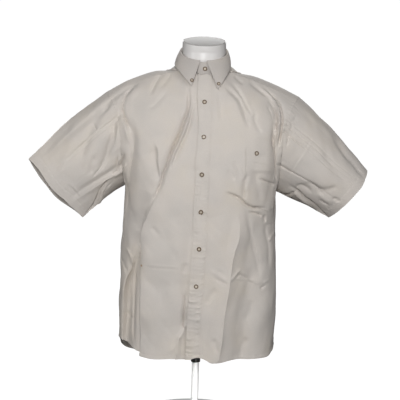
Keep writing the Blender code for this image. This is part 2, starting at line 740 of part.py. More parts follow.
def band_top(angle):
    """The upper edge of the collar band's outer face."""
    head = neckline(angle)
    ratio = BAND_TOP_HALF / NECK_HALF
    height = BAND_FRONT_HEIGHT + (BAND_BACK_HEIGHT - BAND_FRONT_HEIGHT) * (1 - np.cos(angle)) / 2
    y = NECK_Y + (head[..., 1] - NECK_Y) * ratio
    return np.stack([head[..., 0] * ratio, y, head[..., 2] + height], axis=-1)


def fall_grid():
    """Outer points of the collar fall, from the band's top over the roll and down to its edge."""
    first = FALL_EDGE[0][0]
    half = 180 - (180 - first) * np.linspace(1, 0, FALL_HALF_COLUMNS + 1) ** 0.9
    angle = np.radians(np.concatenate([half, 360 - half[-2::-1]]))
    edge = look_up(FALL_EDGE, half) * MM
    edge = np.vstack([edge, (edge * (-1, 1, 1))[-2::-1]]) * (-1, 1, 1)
    outward = np.stack([np.sin(angle), -np.cos(angle), 0 * angle], axis=-1)
    top = band_top(angle)
    roll = []
    for turn in np.radians(ROLL_TURNS):
        ahead = -COLLAR_WALL + ROLL_RADIUS * (1 - math.cos(turn))
        roll.append(top + outward * ahead + np.array((0, 0, ROLL_LIFT + ROLL_RADIUS * math.sin(turn))))
    t = np.linspace(0, 1, FALL_ROWS + 1)[1:, None, None]
    down = roll[-1] * (1 - t) + edge * t + outward * FALL_BELLY * np.sin(np.pi * t)
    return np.concatenate([np.array(roll), down])


def pulled(grid, sides, distance):
    """The grid with its named borders drawn back along the surface."""
    grid = grid.copy()
    rows = {"top": (0, 1), "bottom": (-1, -2)}
    for name in sides:
        if name in rows:
            edge, inner = rows[name]
            grid[edge] += unit(grid[inner] - grid[edge]) * distance
        else:
            edge, inner = (0, 1) if name == "first" else (-1, -2)
            grid[:, edge] += unit(grid[:, inner] - grid[:, edge]) * distance
    return grid


def underlapped(grid):
    """The right front's grid with the columns under the placket moved inwards."""
    weight = np.zeros(grid.shape[1])
    weight[: FRONT_COLUMNS[0] + 1] = 1
    weight[FRONT_COLUMNS[0] + 1] = UNDERLAP_RETURN
    return grid + grid_normals(grid) * UNDERLAP_DROP * weight[None, :, None]


def clear_scene():
    """Empties the scene of its objects."""
    for thing in list(bpy.data.objects):
        bpy.data.objects.remove(thing, do_unlink=True)


def material(name):
    """The named plain material."""
    found = bpy.data.materials.get(name)
    if found:
        return found
    colour, rough, metal = COLOURS[name]
    found = bpy.data.materials.new(name)
    found.use_nodes = True
    shader = found.node_tree.nodes["Principled BSDF"]
    shader.inputs["Base Color"].default_value = (*colour, 1)
    shader.inputs["Roughness"].default_value = rough
    shader.inputs["Metallic"].default_value = metal
    return found


def add_object(name, mesh, finish, collection):
    """Puts a mesh in the part's collection with its material."""
    thing = bpy.data.objects.new(name, mesh)
    mesh.materials.append(material(finish))
    collection.objects.link(thing)
    mesh.shade_smooth()
    return thing


def sheet(collection, name, grid, outward=1, wall=WALL, closed=False):
    """A cloth wall whose outer face is a grid moved onto the points."""
    if closed:
        grid = np.concatenate([grid, grid[:, :1]], axis=1)
    rows, columns = grid.shape[:2]
    cloth = bmesh.new()
    bmesh.ops.create_grid(cloth, x_segments=columns - 1, y_segments=rows - 1, size=0.5)
    for point in cloth.verts:
        column = round((point.co.x + 0.5) * (columns - 1))
        row = round((0.5 - point.co.y) * (rows - 1))
        point.co = grid[row, column]
    if closed:
        bmesh.ops.remove_doubles(cloth, verts=cloth.verts, dist=1e-5)
    if outward < 0:
        bmesh.ops.reverse_faces(cloth, faces=cloth.faces)
    mesh = bpy.data.meshes.new(name)
    cloth.to_mesh(mesh)
    cloth.free()
    thing = add_object(name, mesh, "cloth", collection)
    thickness = thing.modifiers.new("wall", "SOLIDIFY")
    thickness.thickness = wall
    thickness.offset = -1
    return thing


def turned(collection, name, finish, profile, steps):
    """A solid turned from rows of radius and height, top to bottom."""
    mesh = bpy.data.meshes.new(name)
    edges = [(k, k + 1) for k in range(len(profile) - 1)]
    mesh.from_pydata([(radius, 0, height) for radius, height in profile], edges, [])
    thing = add_object(name, mesh, finish, collection)
    screw = thing.modifiers.new("turn", "SCREW")
    screw.steps = steps
    screw.render_steps = steps
    screw.use_merge_vertices = True
    screw.merge_threshold = 1e-6
    return thing


def disc(collection, name, finish, radius, bottom, top, edge, steps):
    """An upright round bar or plate whose upper edge is cut off."""
    profile = [(0, top), (radius - edge, top), (radius, top - edge), (radius, bottom), (0, bottom)]
    if edge == 0:
        profile.pop(1)
    return turned(collection, name, finish, profile, steps)


def button(collection, name, radius, point, normal):
    """A dished button that stands just off the cloth at a point."""
    rows = [(share * radius, height * BUTTON_THICK) for share, height in BUTTON_PROFILE]
    thing = turned(collection, name, "button", rows, BUTTON_STEPS)
    thing.rotation_mode = "QUATERNION"
    thing.rotation_quaternion = Vector(normal).to_track_quat("Z", "Y")
    thing.location = Vector(point) + Vector(normal) * BUTTON_GAP
    return thing


def loft(collection, name, finish, rings):
    """A closed smooth solid through level rings of points from the top down."""
    around = len(rings[0])
    body = bmesh.new()
    levels = [[body.verts.new(point) for point in ring] for ring in rings]
    for upper, lower in zip(levels, levels[1:]):
        for i in range(around):
            k = (i + 1) % around
            body.faces.new((upper[i], lower[i], lower[k], upper[k]))
    body.faces.new(levels[0])
    body.faces.new(levels[-1][::-1])
    bmesh.ops.recalc_face_normals(body, faces=body.faces)
    mesh = bpy.data.meshes.new(name)
    body.to_mesh(mesh)
    body.free()
    return add_object(name, mesh, finish, collection)


def seen_from_front(tree, x, z):
    """The point of a sheet seen from the front at an X and a height, and its normal there."""
    point, normal, _, _ = tree.ray_cast(Vector((x, -1, z)), Vector((0, 1, 0)))
    if normal.y > 0:
        normal = -normal
    return np.array(point), np.array(normal)


def outer_tree(grid):
    """A search tree over the faces of a grid of points."""
    rows, columns = grid.shape[:2]
    faces = [
        (j * columns + i, (j + 1) * columns + i, (j + 1) * columns + i + 1, j * columns + i + 1)
        for j in range(rows - 1)
        for i in range(columns - 1)
    ]
    return BVHTree.FromPolygons([tuple(p) for p in grid.reshape(-1, 3)], faces)


def pocket_grid(tree):
    """Outer points of the chest pocket, a patch with its foot in a blunt point."""
    across = np.linspace(0, 1, POCKET_COLUMNS + 1)
    down = np.linspace(0, 1, POCKET_ROWS + 1)
    grid = np.zeros((len(down), len(across), 3))
    for j, v in enumerate(down):
        for i, u in enumerate(across):
            x = POCKET_X + POCKET_WIDTH * u
            foot = POCKET_FOOT_Z + POCKET_FOOT_RISE * abs(x - POCKET_FOOT_X)
            z = POCKET_TOP + (foot - POCKET_TOP) * v
            point, normal = seen_from_front(tree, x, z)
            grid[j, i] = point + normal * (POCKET_LIFT + WALL)
    return grid


def form_ring(row):
    """A level ring of the dress form."""
    z, half, front, back = (value * MM for value in row)
    angle = np.linspace(0, 2 * np.pi, FORM_AROUND, endpoint=False)
    depth = np.where(np.cos(angle) > 0, front, back)
    reach = (np.abs(np.sin(angle)) / half) ** FORM_POWER + (np.abs(np.cos(angle)) / depth) ** FORM_POWER
    radius = reach ** (-1 / FORM_POWER)
    y = -radius * np.cos(angle)
    tilt = math.tan(NECK_TILT) * smooth_step(z, NECK_TILT_FROM, FORM_RINGS[-1][0] * MM)
    return raised(np.stack([radius * np.sin(angle), y, z + (y - CAP_Y) * tilt], axis=-1))


def make_body(collection, right, left, back, yoke):
    """The fronts, the back and the yoke."""
    sheet(collection, "front_right", underlapped(pulled(right, ("top", "last"), PULL)), outward=-1)
    sheet(collection, "front_left", pulled(left, ("top", "last"), PULL))
    sheet(collection, "back", pulled(back, ("top", "first", "last"), PULL))
    sheet(collection, "yoke", pulled(yoke, ("top", "bottom", "first", "last"), YOKE_PULL))


def make_sleeves(collection, right, left, back, yoke):
    """The two sleeves, each started on the panels' own points round its armhole."""
    for side, name, front in ((-1, "sleeve_right", right), (1, "sleeve_left", left)):
        grid = sleeve_grid(side, armhole_ring(side, front, back, yoke))
        sheet(collection, name, pulled(grid, ("top",), SLEEVE_PULL), outward=-side, closed=True)


def make_collar(collection):
    """The collar band and fall, with the buttons on them."""
    band, fall = band_grid(), fall_grid()
    sheet(collection, "collar_band", band, wall=COLLAR_WALL)
    sheet(collection, "collar_fall", fall, wall=COLLAR_WALL)
    band_front = outer_tree(band[:, : BAND_COLUMNS // 4])
    button(collection, "button_1", BUTTON_RADIUS, *seen_from_front(band_front, NECK_BUTTON_X, NECK_BUTTON_Z))
    tree = outer_tree(fall)
    for side, name in ((-1, "collar_button_right"), (1, "collar_button_left")):
        place = seen_from_front(tree, side * COLLAR_BUTTON_X, COLLAR_BUTTON_Z)
        button(collection, name, SMALL_BUTTON_RADIUS, *place)


def make_placket(collection, left):
    """The placket on the left front's edge, with its buttons."""
    columns = slice(0, FRONT_COLUMNS[0] + 1)
    strip = left[:, columns] + grid_normals(left)[:, columns] * (SEAM_GAP + PLACKET_WALL)
    strip = pulled(strip, ("top",), PLACKET_PULL)
    sheet(collection, "placket", strip, wall=PLACKET_WALL)
    tree = outer_tree(strip)
    for number, z in enumerate(PLACKET_BUTTON_Z, 2):
        x = look_up(PLACKET_MIDDLE, z / MM)[0] * MM
        button(collection, f"button_{number}", BUTTON_RADIUS, *seen_from_front(tree, x, z))


def make_pocket(collection, left):
    """The chest pocket and its button."""
    grid = pocket_grid(outer_tree(left))
    sheet(collection, "pocket", grid)
    button(collection, "pocket_button", SMALL_BUTTON_RADIUS, *seen_from_front(outer_tree(grid), *POCKET_BUTTON))


def make_form(collection):
    """The dress form and the cap on its neck."""
    loft(collection, "dress_form", "form", [form_ring(row) for row in FORM_RINGS[::-1]])
    cap = disc(collection, "neck_cap", "cap", CAP_RADIUS, 0, CAP_THICK, CAP_EDGE, 32)
    cap.location = (0, CAP_Y, CAP_Z)
    cap.rotation_euler = (NECK_TILT, 0, 0)


def make_stand(collection):
    """The socket under the form, the pole in it and the plate that the pole stands on."""
    disc(collection, "pole_socket", "socket", SOCKET_RADIUS, SOCKET_BOTTOM, FORM_BOTTOM - TOUCH, 0, 24)
    disc(collection, "pole", "stand", POLE_RADIUS, BASE_THICK + TOUCH, SOCKET_BOTTOM - TOUCH, 0, 20)
    disc(collection, "base_plate", "stand", BASE_RADIUS, 0, BASE_THICK, BASE_EDGE, 48)


def main():
    """Builds the shirt, the form and its stand."""
    clear_scene()
    collection = bpy.data.collections.new("shirt_on_form")
    bpy.context.scene.collection.children.link(collection)
    grids = (front_grid(-1), front_grid(1), back_grid(), yoke_grid())
    right, left, back, yoke = (raised(grid) for grid in grids)
    make_body(collection, right, left, back, yoke)
    make_sleeves(collection, right, left, back, yoke)
    make_collar(collection)
    make_placket(collection, left)
    make_pocket(collection, left)
    make_form(collection)
    make_stand(collection)


main()
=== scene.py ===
"""A short-sleeve button-down shirt on a limbless dress form, dressed for its photograph.

Metres, +Z up. The shirt's front faces -Y. "Right" and "left" in names are the wearer's.
"""

from __future__ import annotations

import logging
import math
from dataclasses import dataclass, field
from enum import Enum
from functools import partial

import bpy
import numpy as np
from mathutils import Euler, Matrix, Vector
from mathutils.bvhtree import BVHTree

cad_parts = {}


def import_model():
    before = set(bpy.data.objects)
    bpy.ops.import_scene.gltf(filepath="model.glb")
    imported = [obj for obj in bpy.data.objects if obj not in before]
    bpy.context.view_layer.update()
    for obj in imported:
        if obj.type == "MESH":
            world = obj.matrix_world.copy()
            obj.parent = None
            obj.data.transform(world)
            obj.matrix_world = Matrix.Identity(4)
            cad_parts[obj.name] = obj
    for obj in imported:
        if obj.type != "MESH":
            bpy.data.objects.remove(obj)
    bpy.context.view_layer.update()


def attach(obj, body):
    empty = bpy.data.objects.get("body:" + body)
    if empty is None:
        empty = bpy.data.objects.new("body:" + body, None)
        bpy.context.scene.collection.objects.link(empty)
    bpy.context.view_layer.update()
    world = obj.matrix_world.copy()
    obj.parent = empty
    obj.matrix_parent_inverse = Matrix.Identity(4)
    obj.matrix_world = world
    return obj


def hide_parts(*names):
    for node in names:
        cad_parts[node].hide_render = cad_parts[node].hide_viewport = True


log = logging.getLogger("shirt")

MM = 0.001
Grid = np.ndarray
Rows = tuple[tuple[float, ...], ...]
Colour = tuple[float, float, float]
Triple = tuple[float, float, float]

# How much deeper and narrower creases are than their rows say
SHARP_BELOW = 8
SHARP_DEPTH = 1.4
SOFT_DEPTH = 1.15
NARROWING = 0.9

# How much a normal must face a fold's side for it to start and to be whole
FOLD_TURN = (0.02, 0.30)
CREASE_TURN = (0.02, 0.16)

# The lengths of the waves in a pucker, and of their slow swelling, in metres
PUCKER_LENGTHS = (0.0075, 0.0105, 0.016, 0.023)
PUCKER_SWELL = 0.14

# A turned hem's step and the groove of its stitches
HEM_STEP = 0.55 * MM
HEM_GROOVE = 0.45 * MM
HEM_GROOVE_WIDTH = 1.4 * MM
HEM_PUCKERS = 0.5 * MM
HEM_REACH = 0.007

# The sharpest edges that are still shaded smooth
CLOTH_ANGLE = math.radians(55)
HARD_ANGLE = math.radians(40)

CLOTH_SLOT = "twill_cloth"


class Face(Enum):
    """The side of the shirt that a fold lies on, as the sign of Y that it faces."""

    FRONT = -1
    BACK = 1


class Kind(Enum):
    """How the cloth runs across a fold's path."""

    TROUGH = "sinks along the path"
    RIDGE = "stands out along the path"
    CRISP = "a pressed ridge with flat sides"
    STEP = "falls away on the path's right side and comes back"
    LIP = "stands out on the path's left side and sinks on its right"


@dataclass(frozen=True)
class Fold:
    """A large fold, with its own depth at each place: rows of X, height and depth in mm."""

    face: Face
    kind: Kind
    near: float
    far: float
    path: Rows

    @property
    def across(self) -> float:
        """How far from its path the fold reaches, in mm."""
        return 3 * max(self.near, self.far)

    def line(self) -> np.ndarray:
        """Points and depths along the fold's smooth path."""
        return through(self.path, np.linspace(0, 1, 9 * len(self.path)))

    def profile(self, off: np.ndarray) -> np.ndarray:
        """The height across the path for a depth of one.

        Args:
            off: Signed distances from the path, in mm.

        Returns:
            Heights, as shares of the depth.
        """
        if self.kind is Kind.TROUGH:
            return -np.exp(-((off / self.near) ** 2))
        if self.kind is Kind.RIDGE:
            return np.exp(-((off / self.near) ** 2))
        if self.kind is Kind.CRISP:
            return np.exp(-np.abs(off) / self.near)
        if self.kind is Kind.LIP:
            return 1.65 * off / self.near * np.exp(-((off / self.near) ** 2))
        beyond = np.clip(-off, 0, None)
        return -(1 - np.exp(-((beyond / self.near) ** 2))) * np.exp(-((beyond / self.far) ** 2))


@dataclass(frozen=True)
class Crease(Fold):
    """A small crease of one depth that dies away at its ends: rows of X and height in mm."""

    depth: float = 3.0
    fades: float = 0.28

    def line(self) -> np.ndarray:
        """Points and depths along the crease, shallow at its ends."""
        share = np.linspace(0, 1, 6 * len(self.path))
        swell = smooth_step(share, 0, self.fades) * (1 - smooth_step(share, 1 - self.fades, 1))
        return np.column_stack([through(self.path, share), self.depth * swell])


def crease(kind: Kind, width: float, depth: float, *path: tuple[float, float]) -> Crease:
    """A crease on the front.

    Args:
        kind: How the cloth runs across it.
        width: Its half width, in mm.
        depth: Its depth, in mm.
        path: Places down its length, as X and height in mm.

    Returns:
        The crease.
    """
    sharp = kind in (Kind.TROUGH, Kind.RIDGE) and width < SHARP_BELOW
    deeper = SHARP_DEPTH if sharp else SOFT_DEPTH
    return Crease(Face.FRONT, kind, width * NARROWING, width * 6, path, depth * deeper)


def back_crease(kind: Kind, width: float, depth: float, *path: tuple[float, float]) -> Crease:
    """A crease on the back, given as one on the front is."""
    return Crease(Face.BACK, kind, width, width * 6, path, depth)


trough = partial(crease, Kind.TROUGH)
ridge = partial(crease, Kind.RIDGE)
back_trough = partial(back_crease, Kind.TROUGH)
back_ridge = partial(back_crease, Kind.RIDGE)


def slopes(at: np.ndarray, values: np.ndarray) -> np.ndarray:
    """Slopes for a smooth curve through rows of values, flat where a column turns."""
    rise = np.diff(values, axis=0) / np.diff(at)[:, None]
    found = np.vstack([rise[:1], np.zeros_like(rise[1:]), rise[-1:]])
    product = rise[:-1] * rise[1:]
    with np.errstate(divide="ignore", invalid="ignore"):
        mean = 2 * product / (rise[:-1] + rise[1:])
    found[1:-1] = np.where(product > 0, mean, 0.0)
    return found


def hermite(at: np.ndarray, values: np.ndarray, tangents: np.ndarray, where: np.ndarray) -> np.ndarray:
    """The cubic curve through rows of values.

    Args:
        at: Places of the rows.
        values: The rows.
        tangents: The slopes at the rows.
        where: Places asked for.

    Returns:
        The values there.
    """
    where = np.clip(np.asarray(where, float), at[0], at[-1])
    k = np.clip(np.searchsorted(at, where, side="right") - 1, 0, len(at) - 2)
    width = (at[k + 1] - at[k])[..., None]
    u = (where - at[k])[..., None] / width
    start = (2 * u**3 - 3 * u**2 + 1) * values[k] + (u**3 - 2 * u**2 + u) * width * tangents[k]
    return start + (3 * u**2 - 2 * u**3) * values[k + 1] + (u**3 - u**2) * width * tangents[k + 1]


def look_up(rows: Rows, where: np.ndarray | float) -> np.ndarray:
    """Values of a table at places in its first column, with no overshoot between rows."""
    table = np.array(rows, float)
    return hermite(table[:, 0], table[:, 1:], slopes(table[:, 0], table[:, 1:]), where)


def through(points: Rows, share: np.ndarray, closed: bool = False) -> np.ndarray:
    """Points on a smooth curve through the given ones, at shares of the way along it."""
    p = np.array(points, float)
    if closed:
        p = np.vstack([p[-2:], p, p[:3]])
    at = distances(p)
    tangents = np.gradient(p, at, axis=0)
    first, last = (at[2], at[-3]) if closed else (at[0], at[-1])
    return hermite(at, p, tangents, first + (last - first) * np.asarray(share, float))


def smooth_step(x: np.ndarray | float, low: float, high: float) -> np.ndarray:
    """0 below low, 1 above high and smooth between."""
    u = np.clip((x - low) / (high - low), 0, 1)
    return u * u * (3 - 2 * u)


def nearest(points: Grid, place: np.ndarray) -> int:
    """Which of a line's points is nearest to a place."""
    return int(np.argmin(np.linalg.norm(points - place, axis=1)))


def unit(v: np.ndarray) -> np.ndarray:
    """Vectors made one long."""
    return v / np.maximum(np.linalg.norm(v, axis=-1, keepdims=True), 1e-12)


def distances(points: Grid) -> np.ndarray:
    """How far each point of a line is from its first one, along the line."""
    return np.concatenate([[0], np.cumsum(np.linalg.norm(np.diff(points, axis=0), axis=1))])


def between(where: np.ndarray | float, at: np.ndarray, points: Grid) -> Grid:
    """Points at places on straight lines between the given ones, which lie at their own places."""
    return np.stack([np.interp(where, at, points[:, k]) for k in range(3)], axis=-1)


def blend(first: Grid, first_slope: Grid, last: Grid, last_slope: Grid, rows: int) -> Grid:
    """Rows of points from one line to another.

    Args:
        first: The line that the rows leave.
        first_slope: The direction in which they leave it.
        last: The line that they reach.
        last_slope: The direction in which they reach it.
        rows: How many steps there are.

    Returns:
        The grid of points, both lines included.
    """
    length = np.linalg.norm(last - first, axis=1)[:, None]
    u = np.linspace(0, 1, rows + 1)[:, None, None]
    start = (2 * u**3 - 3 * u**2 + 1) * first + (u**3 - 2 * u**2 + u) * first_slope * length
    return start + (3 * u**2 - 2 * u**3) * last + (u**3 - u**2) * last_slope * length


def grid_normals(grid: Grid, closed: bool = False) -> Grid:
    """Unit normals of a grid of points whose rows run down and columns round."""
    if closed:
        across = np.roll(grid, -1, axis=1) - np.roll(grid, 1, axis=1)
    else:
        across = np.gradient(grid, axis=1)
    return unit(np.cross(np.gradient(grid, axis=0), across))


def grown(grid: Grid, height: np.ndarray, outward: int = 1, closed: bool = False) -> Grid:
    """A sheet's points moved out of its surface by a height at each, in metres."""
    return grid + grid_normals(grid, closed) * outward * height[..., None]


def offsets(line: np.ndarray, x: np.ndarray, z: np.ndarray) -> tuple[np.ndarray, np.ndarray]:
    """Signed distance of places from a line seen from the front, and the depth there.

    Args:
        line: Rows of X, height and depth along the line, in mm.
        x: Places across, in mm.
        z: Heights, in mm.

    Returns:
        The distances, positive on the left of the line as it runs, and the depths.
    """
    best = np.full(x.shape, np.inf)
    signed = np.zeros(x.shape)
    depth = np.zeros(x.shape)
    for a, b in zip(line[:-1], line[1:]):
        run = b[:2] - a[:2]
        share = np.clip(((x - a[0]) * run[0] + (z - a[1]) * run[1]) / max(run @ run, 1e-9), 0, 1)
        off_x = x - a[0] - share * run[0]
        off_z = z - a[1] - share * run[1]
        far = np.hypot(off_x, off_z)
        nearer = far < best
        best = np.where(nearer, far, best)
        signed = np.where(nearer, far * np.sign(off_z * run[0] - off_x * run[1]), signed)
        depth = np.where(nearer, a[2] + share * (b[2] - a[2]), depth)
    return signed, depth


def fold_height(folds: tuple[Fold, ...], points: Grid, normals: Grid, turn: tuple[float, float]) -> Grid:
    """How far folds move each point outwards, in metres.

    Args:
        folds: The folds.
        points: The points of a sheet.
        normals: Its outward normals.
        turn: How much a normal must face the fold's side for the fold to start and to be whole.

    Returns:
        A height for each point.
    """
    x, z = points[..., 0] / MM, points[..., 2] / MM
    height = np.zeros(x.shape)
    for fold in folds:
        line = fold.line()
        low, high = line[:, :2].min(axis=0) - fold.across, line[:, :2].max(axis=0) + fold.across
        facing = smooth_step(normals[..., 1] * fold.face.value, *turn)
        near = (x > low[0]) & (x < high[0]) & (z > low[1]) & (z < high[1]) & (facing > 0)
        if near.any():
            off, depth = offsets(line, x[near], z[near])
            height[near] += fold.profile(off) * depth * facing[near]
    return height * MM


BIG_FOLDS = (
    Fold(
        Face.FRONT, Kind.STEP, 10, 38,
        ((-106, 600, 0), (-122, 560, 12), (-142, 515, 24), (-143, 430, 30), (-143, 340, 31), (-140, 195, 29)),
    ),
    Fold(
        Face.FRONT, Kind.TROUGH, 10, 10,
        ((-36, 850, 0), (-44, 800, 5), (-66, 730, 6), (-93, 660, 6), (-108, 610, 3), (-120, 570, 0)),
    ),
    Fold(
        Face.FRONT, Kind.CRISP, 14, 14,
        ((98, 580, 0), (97, 497, 6), (89, 460, 8), (78, 392, 10), (68, 296, 10), (59, 195, 10)),
    ),
    Fold(
        Face.FRONT, Kind.TROUGH, 34, 34,
        ((160, 620, 0), (150, 520, 11), (138, 400, 18), (128, 300, 20), (120, 195, 18)),
    ),
    Fold(
        Face.FRONT, Kind.TROUGH, 14, 14,
        (
            (-160, 860, 0), (-188, 825, 6), (-186, 775, 9), (-176, 730, 9), (-176, 670, 6),
            (-182, 600, 4), (-186, 520, 0),
        ),
    ),
    Fold(
        Face.FRONT, Kind.TROUGH, 14, 14,
        ((160, 860, 0), (186, 830, 6), (190, 780, 9), (188, 720, 8), (188, 660, 5), (188, 600, 0)),
    ),
    Fold(
        Face.FRONT, Kind.TROUGH, 12, 12,
        ((-262, 812, 0), (-271, 783, 3.5), (-286, 748, 5), (-299, 715, 4.5), (-311, 645, 0)),
    ),
    Fold(
        Face.FRONT, Kind.TROUGH, 13, 13,
        ((-204, 808, 0), (-219, 772, 5), (-227, 738, 6), (-240, 695, 5), (-270, 640, 0)),
    ),
    Fold(
        Face.FRONT, Kind.TROUGH, 13, 13,
        ((240, 805, 0), (226, 782, 6), (213, 757, 7), (200, 733, 5), (190, 712, 0)),
    ),
    Fold(
        Face.FRONT, Kind.TROUGH, 12, 12,
        ((238, 620, 0), (268, 627, 2.5), (300, 619, 3), (330, 617, 2.5), (362, 632, 0)),
    ),
    Fold(
        Face.BACK, Kind.TROUGH, 22, 22,
        ((-78, 830, 0), (-82, 700, 6), (-90, 500, 12), (-98, 300, 15), (-102, 150, 15)),
    ),
    Fold(
        Face.BACK, Kind.TROUGH, 22, 22,
        ((70, 830, 0), (76, 700, 6), (84, 500, 12), (92, 300, 15), (96, 150, 15)),
    ),
    Fold(Face.BACK, Kind.TROUGH, 16, 16, ((-240, 790, 0), (-262, 730, 9), (-290, 670, 8), (-320, 620, 0))),
    Fold(Face.BACK, Kind.TROUGH, 16, 16, ((240, 790, 0), (262, 730, 9), (290, 670, 8), (320, 620, 0))),
)

# Creases of the right front and the right shoulder
RIGHT_CREASES = (
    trough(4.5, 7, (-166, 880), (-183, 864), (-194, 848), (-200, 832), (-203, 818), (-201, 802),
        (-194, 785), (-184, 767), (-172, 752)),
    ridge(10, 4, (-150, 876), (-176, 850), (-184, 818), (-180, 790), (-166, 768)),
    trough(6, 4.5, (-203, 811), (-214, 786), (-220, 770), (-226, 742), (-236, 702), (-258, 655)),
    ridge(5, 3, (-201, 797), (-196, 776), (-189, 752), (-181, 725)),
    trough(4.5, 4, (-172, 750), (-171, 720), (-173, 690), (-176, 661), (-179, 632), (-182, 606),
        (-184, 575), (-187, 540)),
    trough(8, 5, (-136, 897), (-154, 889), (-178, 876), (-205, 853), (-229, 832), (-246, 812),
        (-262, 792), (-276, 776)),
    trough(5, 3, (-80, 915), (-88, 896), (-99, 880), (-107, 866)),
    trough(6, 4, (-93, 912), (-113, 895), (-123, 877), (-129, 860), (-134, 845)),
    trough(6, 2, (-86, 868), (-96, 853), (-108, 836), (-122, 822), (-142, 815)),
    trough(4.5, 6.5, (-41, 908), (-40, 893), (-38, 878), (-35, 856), (-34, 831), (-38, 808), (-45, 786),
        (-52, 764), (-60, 741), (-70, 715), (-76, 695), (-83, 675), (-91, 656), (-99, 629), (-107, 611),
        (-115, 593), (-124, 573), (-129, 555)),
    ridge(4.5, 4, (-32, 852), (-29, 828), (-33, 804), (-40, 782), (-47, 760), (-56, 735), (-65, 712),
        (-72, 690), (-80, 668), (-90, 646)),
    trough(5, 4.5, (-20, 850), (-24, 822), (-29, 799), (-35, 771), (-42, 748), (-52, 724), (-61, 699),
        (-69, 678), (-78, 660)),
    crease(Kind.STEP, 4, 8, (-116, 735), (-106, 714), (-104, 690), (-101, 667), (-97, 634)),
    ridge(6, 4, (-146, 486), (-153, 471), (-160, 453), (-170, 412), (-182, 382), (-190, 347), (-195, 310),
        (-198, 266), (-199, 225)),
    Fold(
        Face.FRONT, Kind.TROUGH, 14, 14,
        ((-150, 505, 0), (-158, 450, 14), (-165, 400, 24), (-172, 340, 31), (-175, 280, 33), (-177, 190, 31)),
    ),
    trough(4, 7, (-156, 422), (-158, 396), (-159, 350), (-159, 300), (-159, 250), (-158, 205)),
    trough(2.8, 6, (-28, 372), (-30, 346), (-32, 314), (-34, 280), (-37, 256)),
    ridge(4, 3, (-40, 262), (-48, 240), (-56, 220), (-64, 204)),
    ridge(4, 3, (-192, 464), (-181, 452), (-172, 434), (-166, 412)),
    trough(4, 3, (-200, 432), (-190, 414), (-179, 394)),
    trough(5, 2, (-184, 296), (-173, 287), (-159, 274)),
    crease(Kind.LIP, 4, 0.7, (-139, 426), (-108, 424), (-70, 424), (-38, 425)),
    trough(7, 1.5, (-118, 526), (-110, 512), (-101, 500)),
    trough(10, 2.5, (-24, 530), (-26, 480), (-28, 440), (-30, 400), (-32, 360), (-34, 315)),
    trough(6, 2, (-31, 438), (-32, 424), (-33, 410)),
    trough(14, 2, (-80, 400), (-84, 340), (-82, 290)),
    ridge(16, 2, (-60, 560), (-66, 500), (-64, 450)),
)

# Creases of the left front and the left shoulder
LEFT_CREASES = (
    ridge(6, 1.2, (28, 420), (45, 413), (56, 405), (68, 396), (79, 390)),
    trough(4, 1.1, (36, 403), (55, 394), (74, 384)),
    trough(3, 1.2, (44, 416), (60, 414), (70, 402)),
    ridge(3.4, 2.0, (76, 391), (93, 408), (102, 418), (109, 424)),
    ridge(4, 1.6, (103, 425), (121, 408), (134, 395), (150, 387), (170, 387)),
    trough(3.4, 1.8, (92, 398), (104, 408), (114, 402), (126, 394)),
    crease(Kind.LIP, 3, 0.9, (81, 396), (111, 395), (144, 391), (175, 389)),
    trough(3, 2.6, (158, 367), (167, 375), (174, 378)),
    ridge(3, 1.8, (166, 384), (174, 388), (182, 386)),
    trough(7, 3, (114, 590), (118, 563), (124, 530), (133, 496), (145, 454), (154, 419), (157, 388)),
    trough(5, 3, (168, 546), (169, 514), (175, 490), (179, 449), (180, 412)),
    ridge(4, 3, (197, 513), (184, 497), (176, 487)),
    trough(9, 2.5, (138, 344), (132, 312), (120, 288)),
    trough(9, 2.5, (132, 248), (119, 225), (115, 195)),
    trough(8, 1.8, (45, 377), (32, 354), (21, 330)),
    trough(7, 2, (41, 250), (48, 232), (54, 208)),
    trough(7, 5, (48, 885), (70, 866), (88, 847), (98, 825), (109, 796), (119, 768)),
    trough(5, 4, (64, 891), (83, 874), (98, 852), (108, 830), (123, 804)),
    trough(5, 3, (76, 907), (93, 891), (103, 884)),
    trough(6, 4, (114, 893), (141, 872), (167, 852)),
    ridge(3.4, 6, (140, 881), (164, 861), (180, 847), (190, 832), (194, 816), (195, 800), (194, 774),
        (190, 747), (184, 722)),
    trough(2.8, 6, (150, 879), (168, 865), (185, 850), (195, 834), (200, 816), (201, 800), (200, 774),
        (196, 744), (190, 718)),
    trough(2.8, 4.5, (164, 848), (176, 834), (185, 815), (187, 790), (184, 760)),
    ridge(2.6, 2.5, (168, 832), (177, 812), (180, 794)),
    trough(3.4, 5, (180, 798), (180, 747), (183, 702), (187, 658), (194, 612)),
    trough(4, 2.5, (162, 836), (175, 814), (182, 793)),
    trough(6, 2, (134, 818), (131, 797), (139, 778), (154, 760)),
    trough(6, 1.8, (37, 864), (43, 833), (47, 806), (54, 788)),
    trough(4, 6, (60, 620), (84, 608), (102, 598), (115, 586), (130, 578), (151, 576), (173, 572)),
    trough(3.4, 4.5, (120, 567), (141, 562), (160, 554)),
    trough(4, 5, (161, 559), (163, 549), (166, 538)),
    trough(4, 2, (168, 536), (180, 531), (193, 526)),
    trough(4, 5, (142, 652), (164, 642), (193, 627)),
    trough(6, 1.8, (65, 675), (76, 661), (85, 648)),
    trough(6, 1.8, (79, 697), (92, 672), (100, 648)),
    trough(8, 2.5, (134, 674), (138, 643), (147, 607), (152, 580)),
    trough(6, 2.5, (116, 667), (108, 638), (109, 615), (113, 594)),
    crease(Kind.LIP, 3, 1, (124, 694), (150, 688), (169, 685)),
    crease(Kind.STEP, 8, 3, (118, 675), (150, 673), (190, 671)),
    ridge(12, 2, (24, 330), (34, 280), (30, 230)),
)

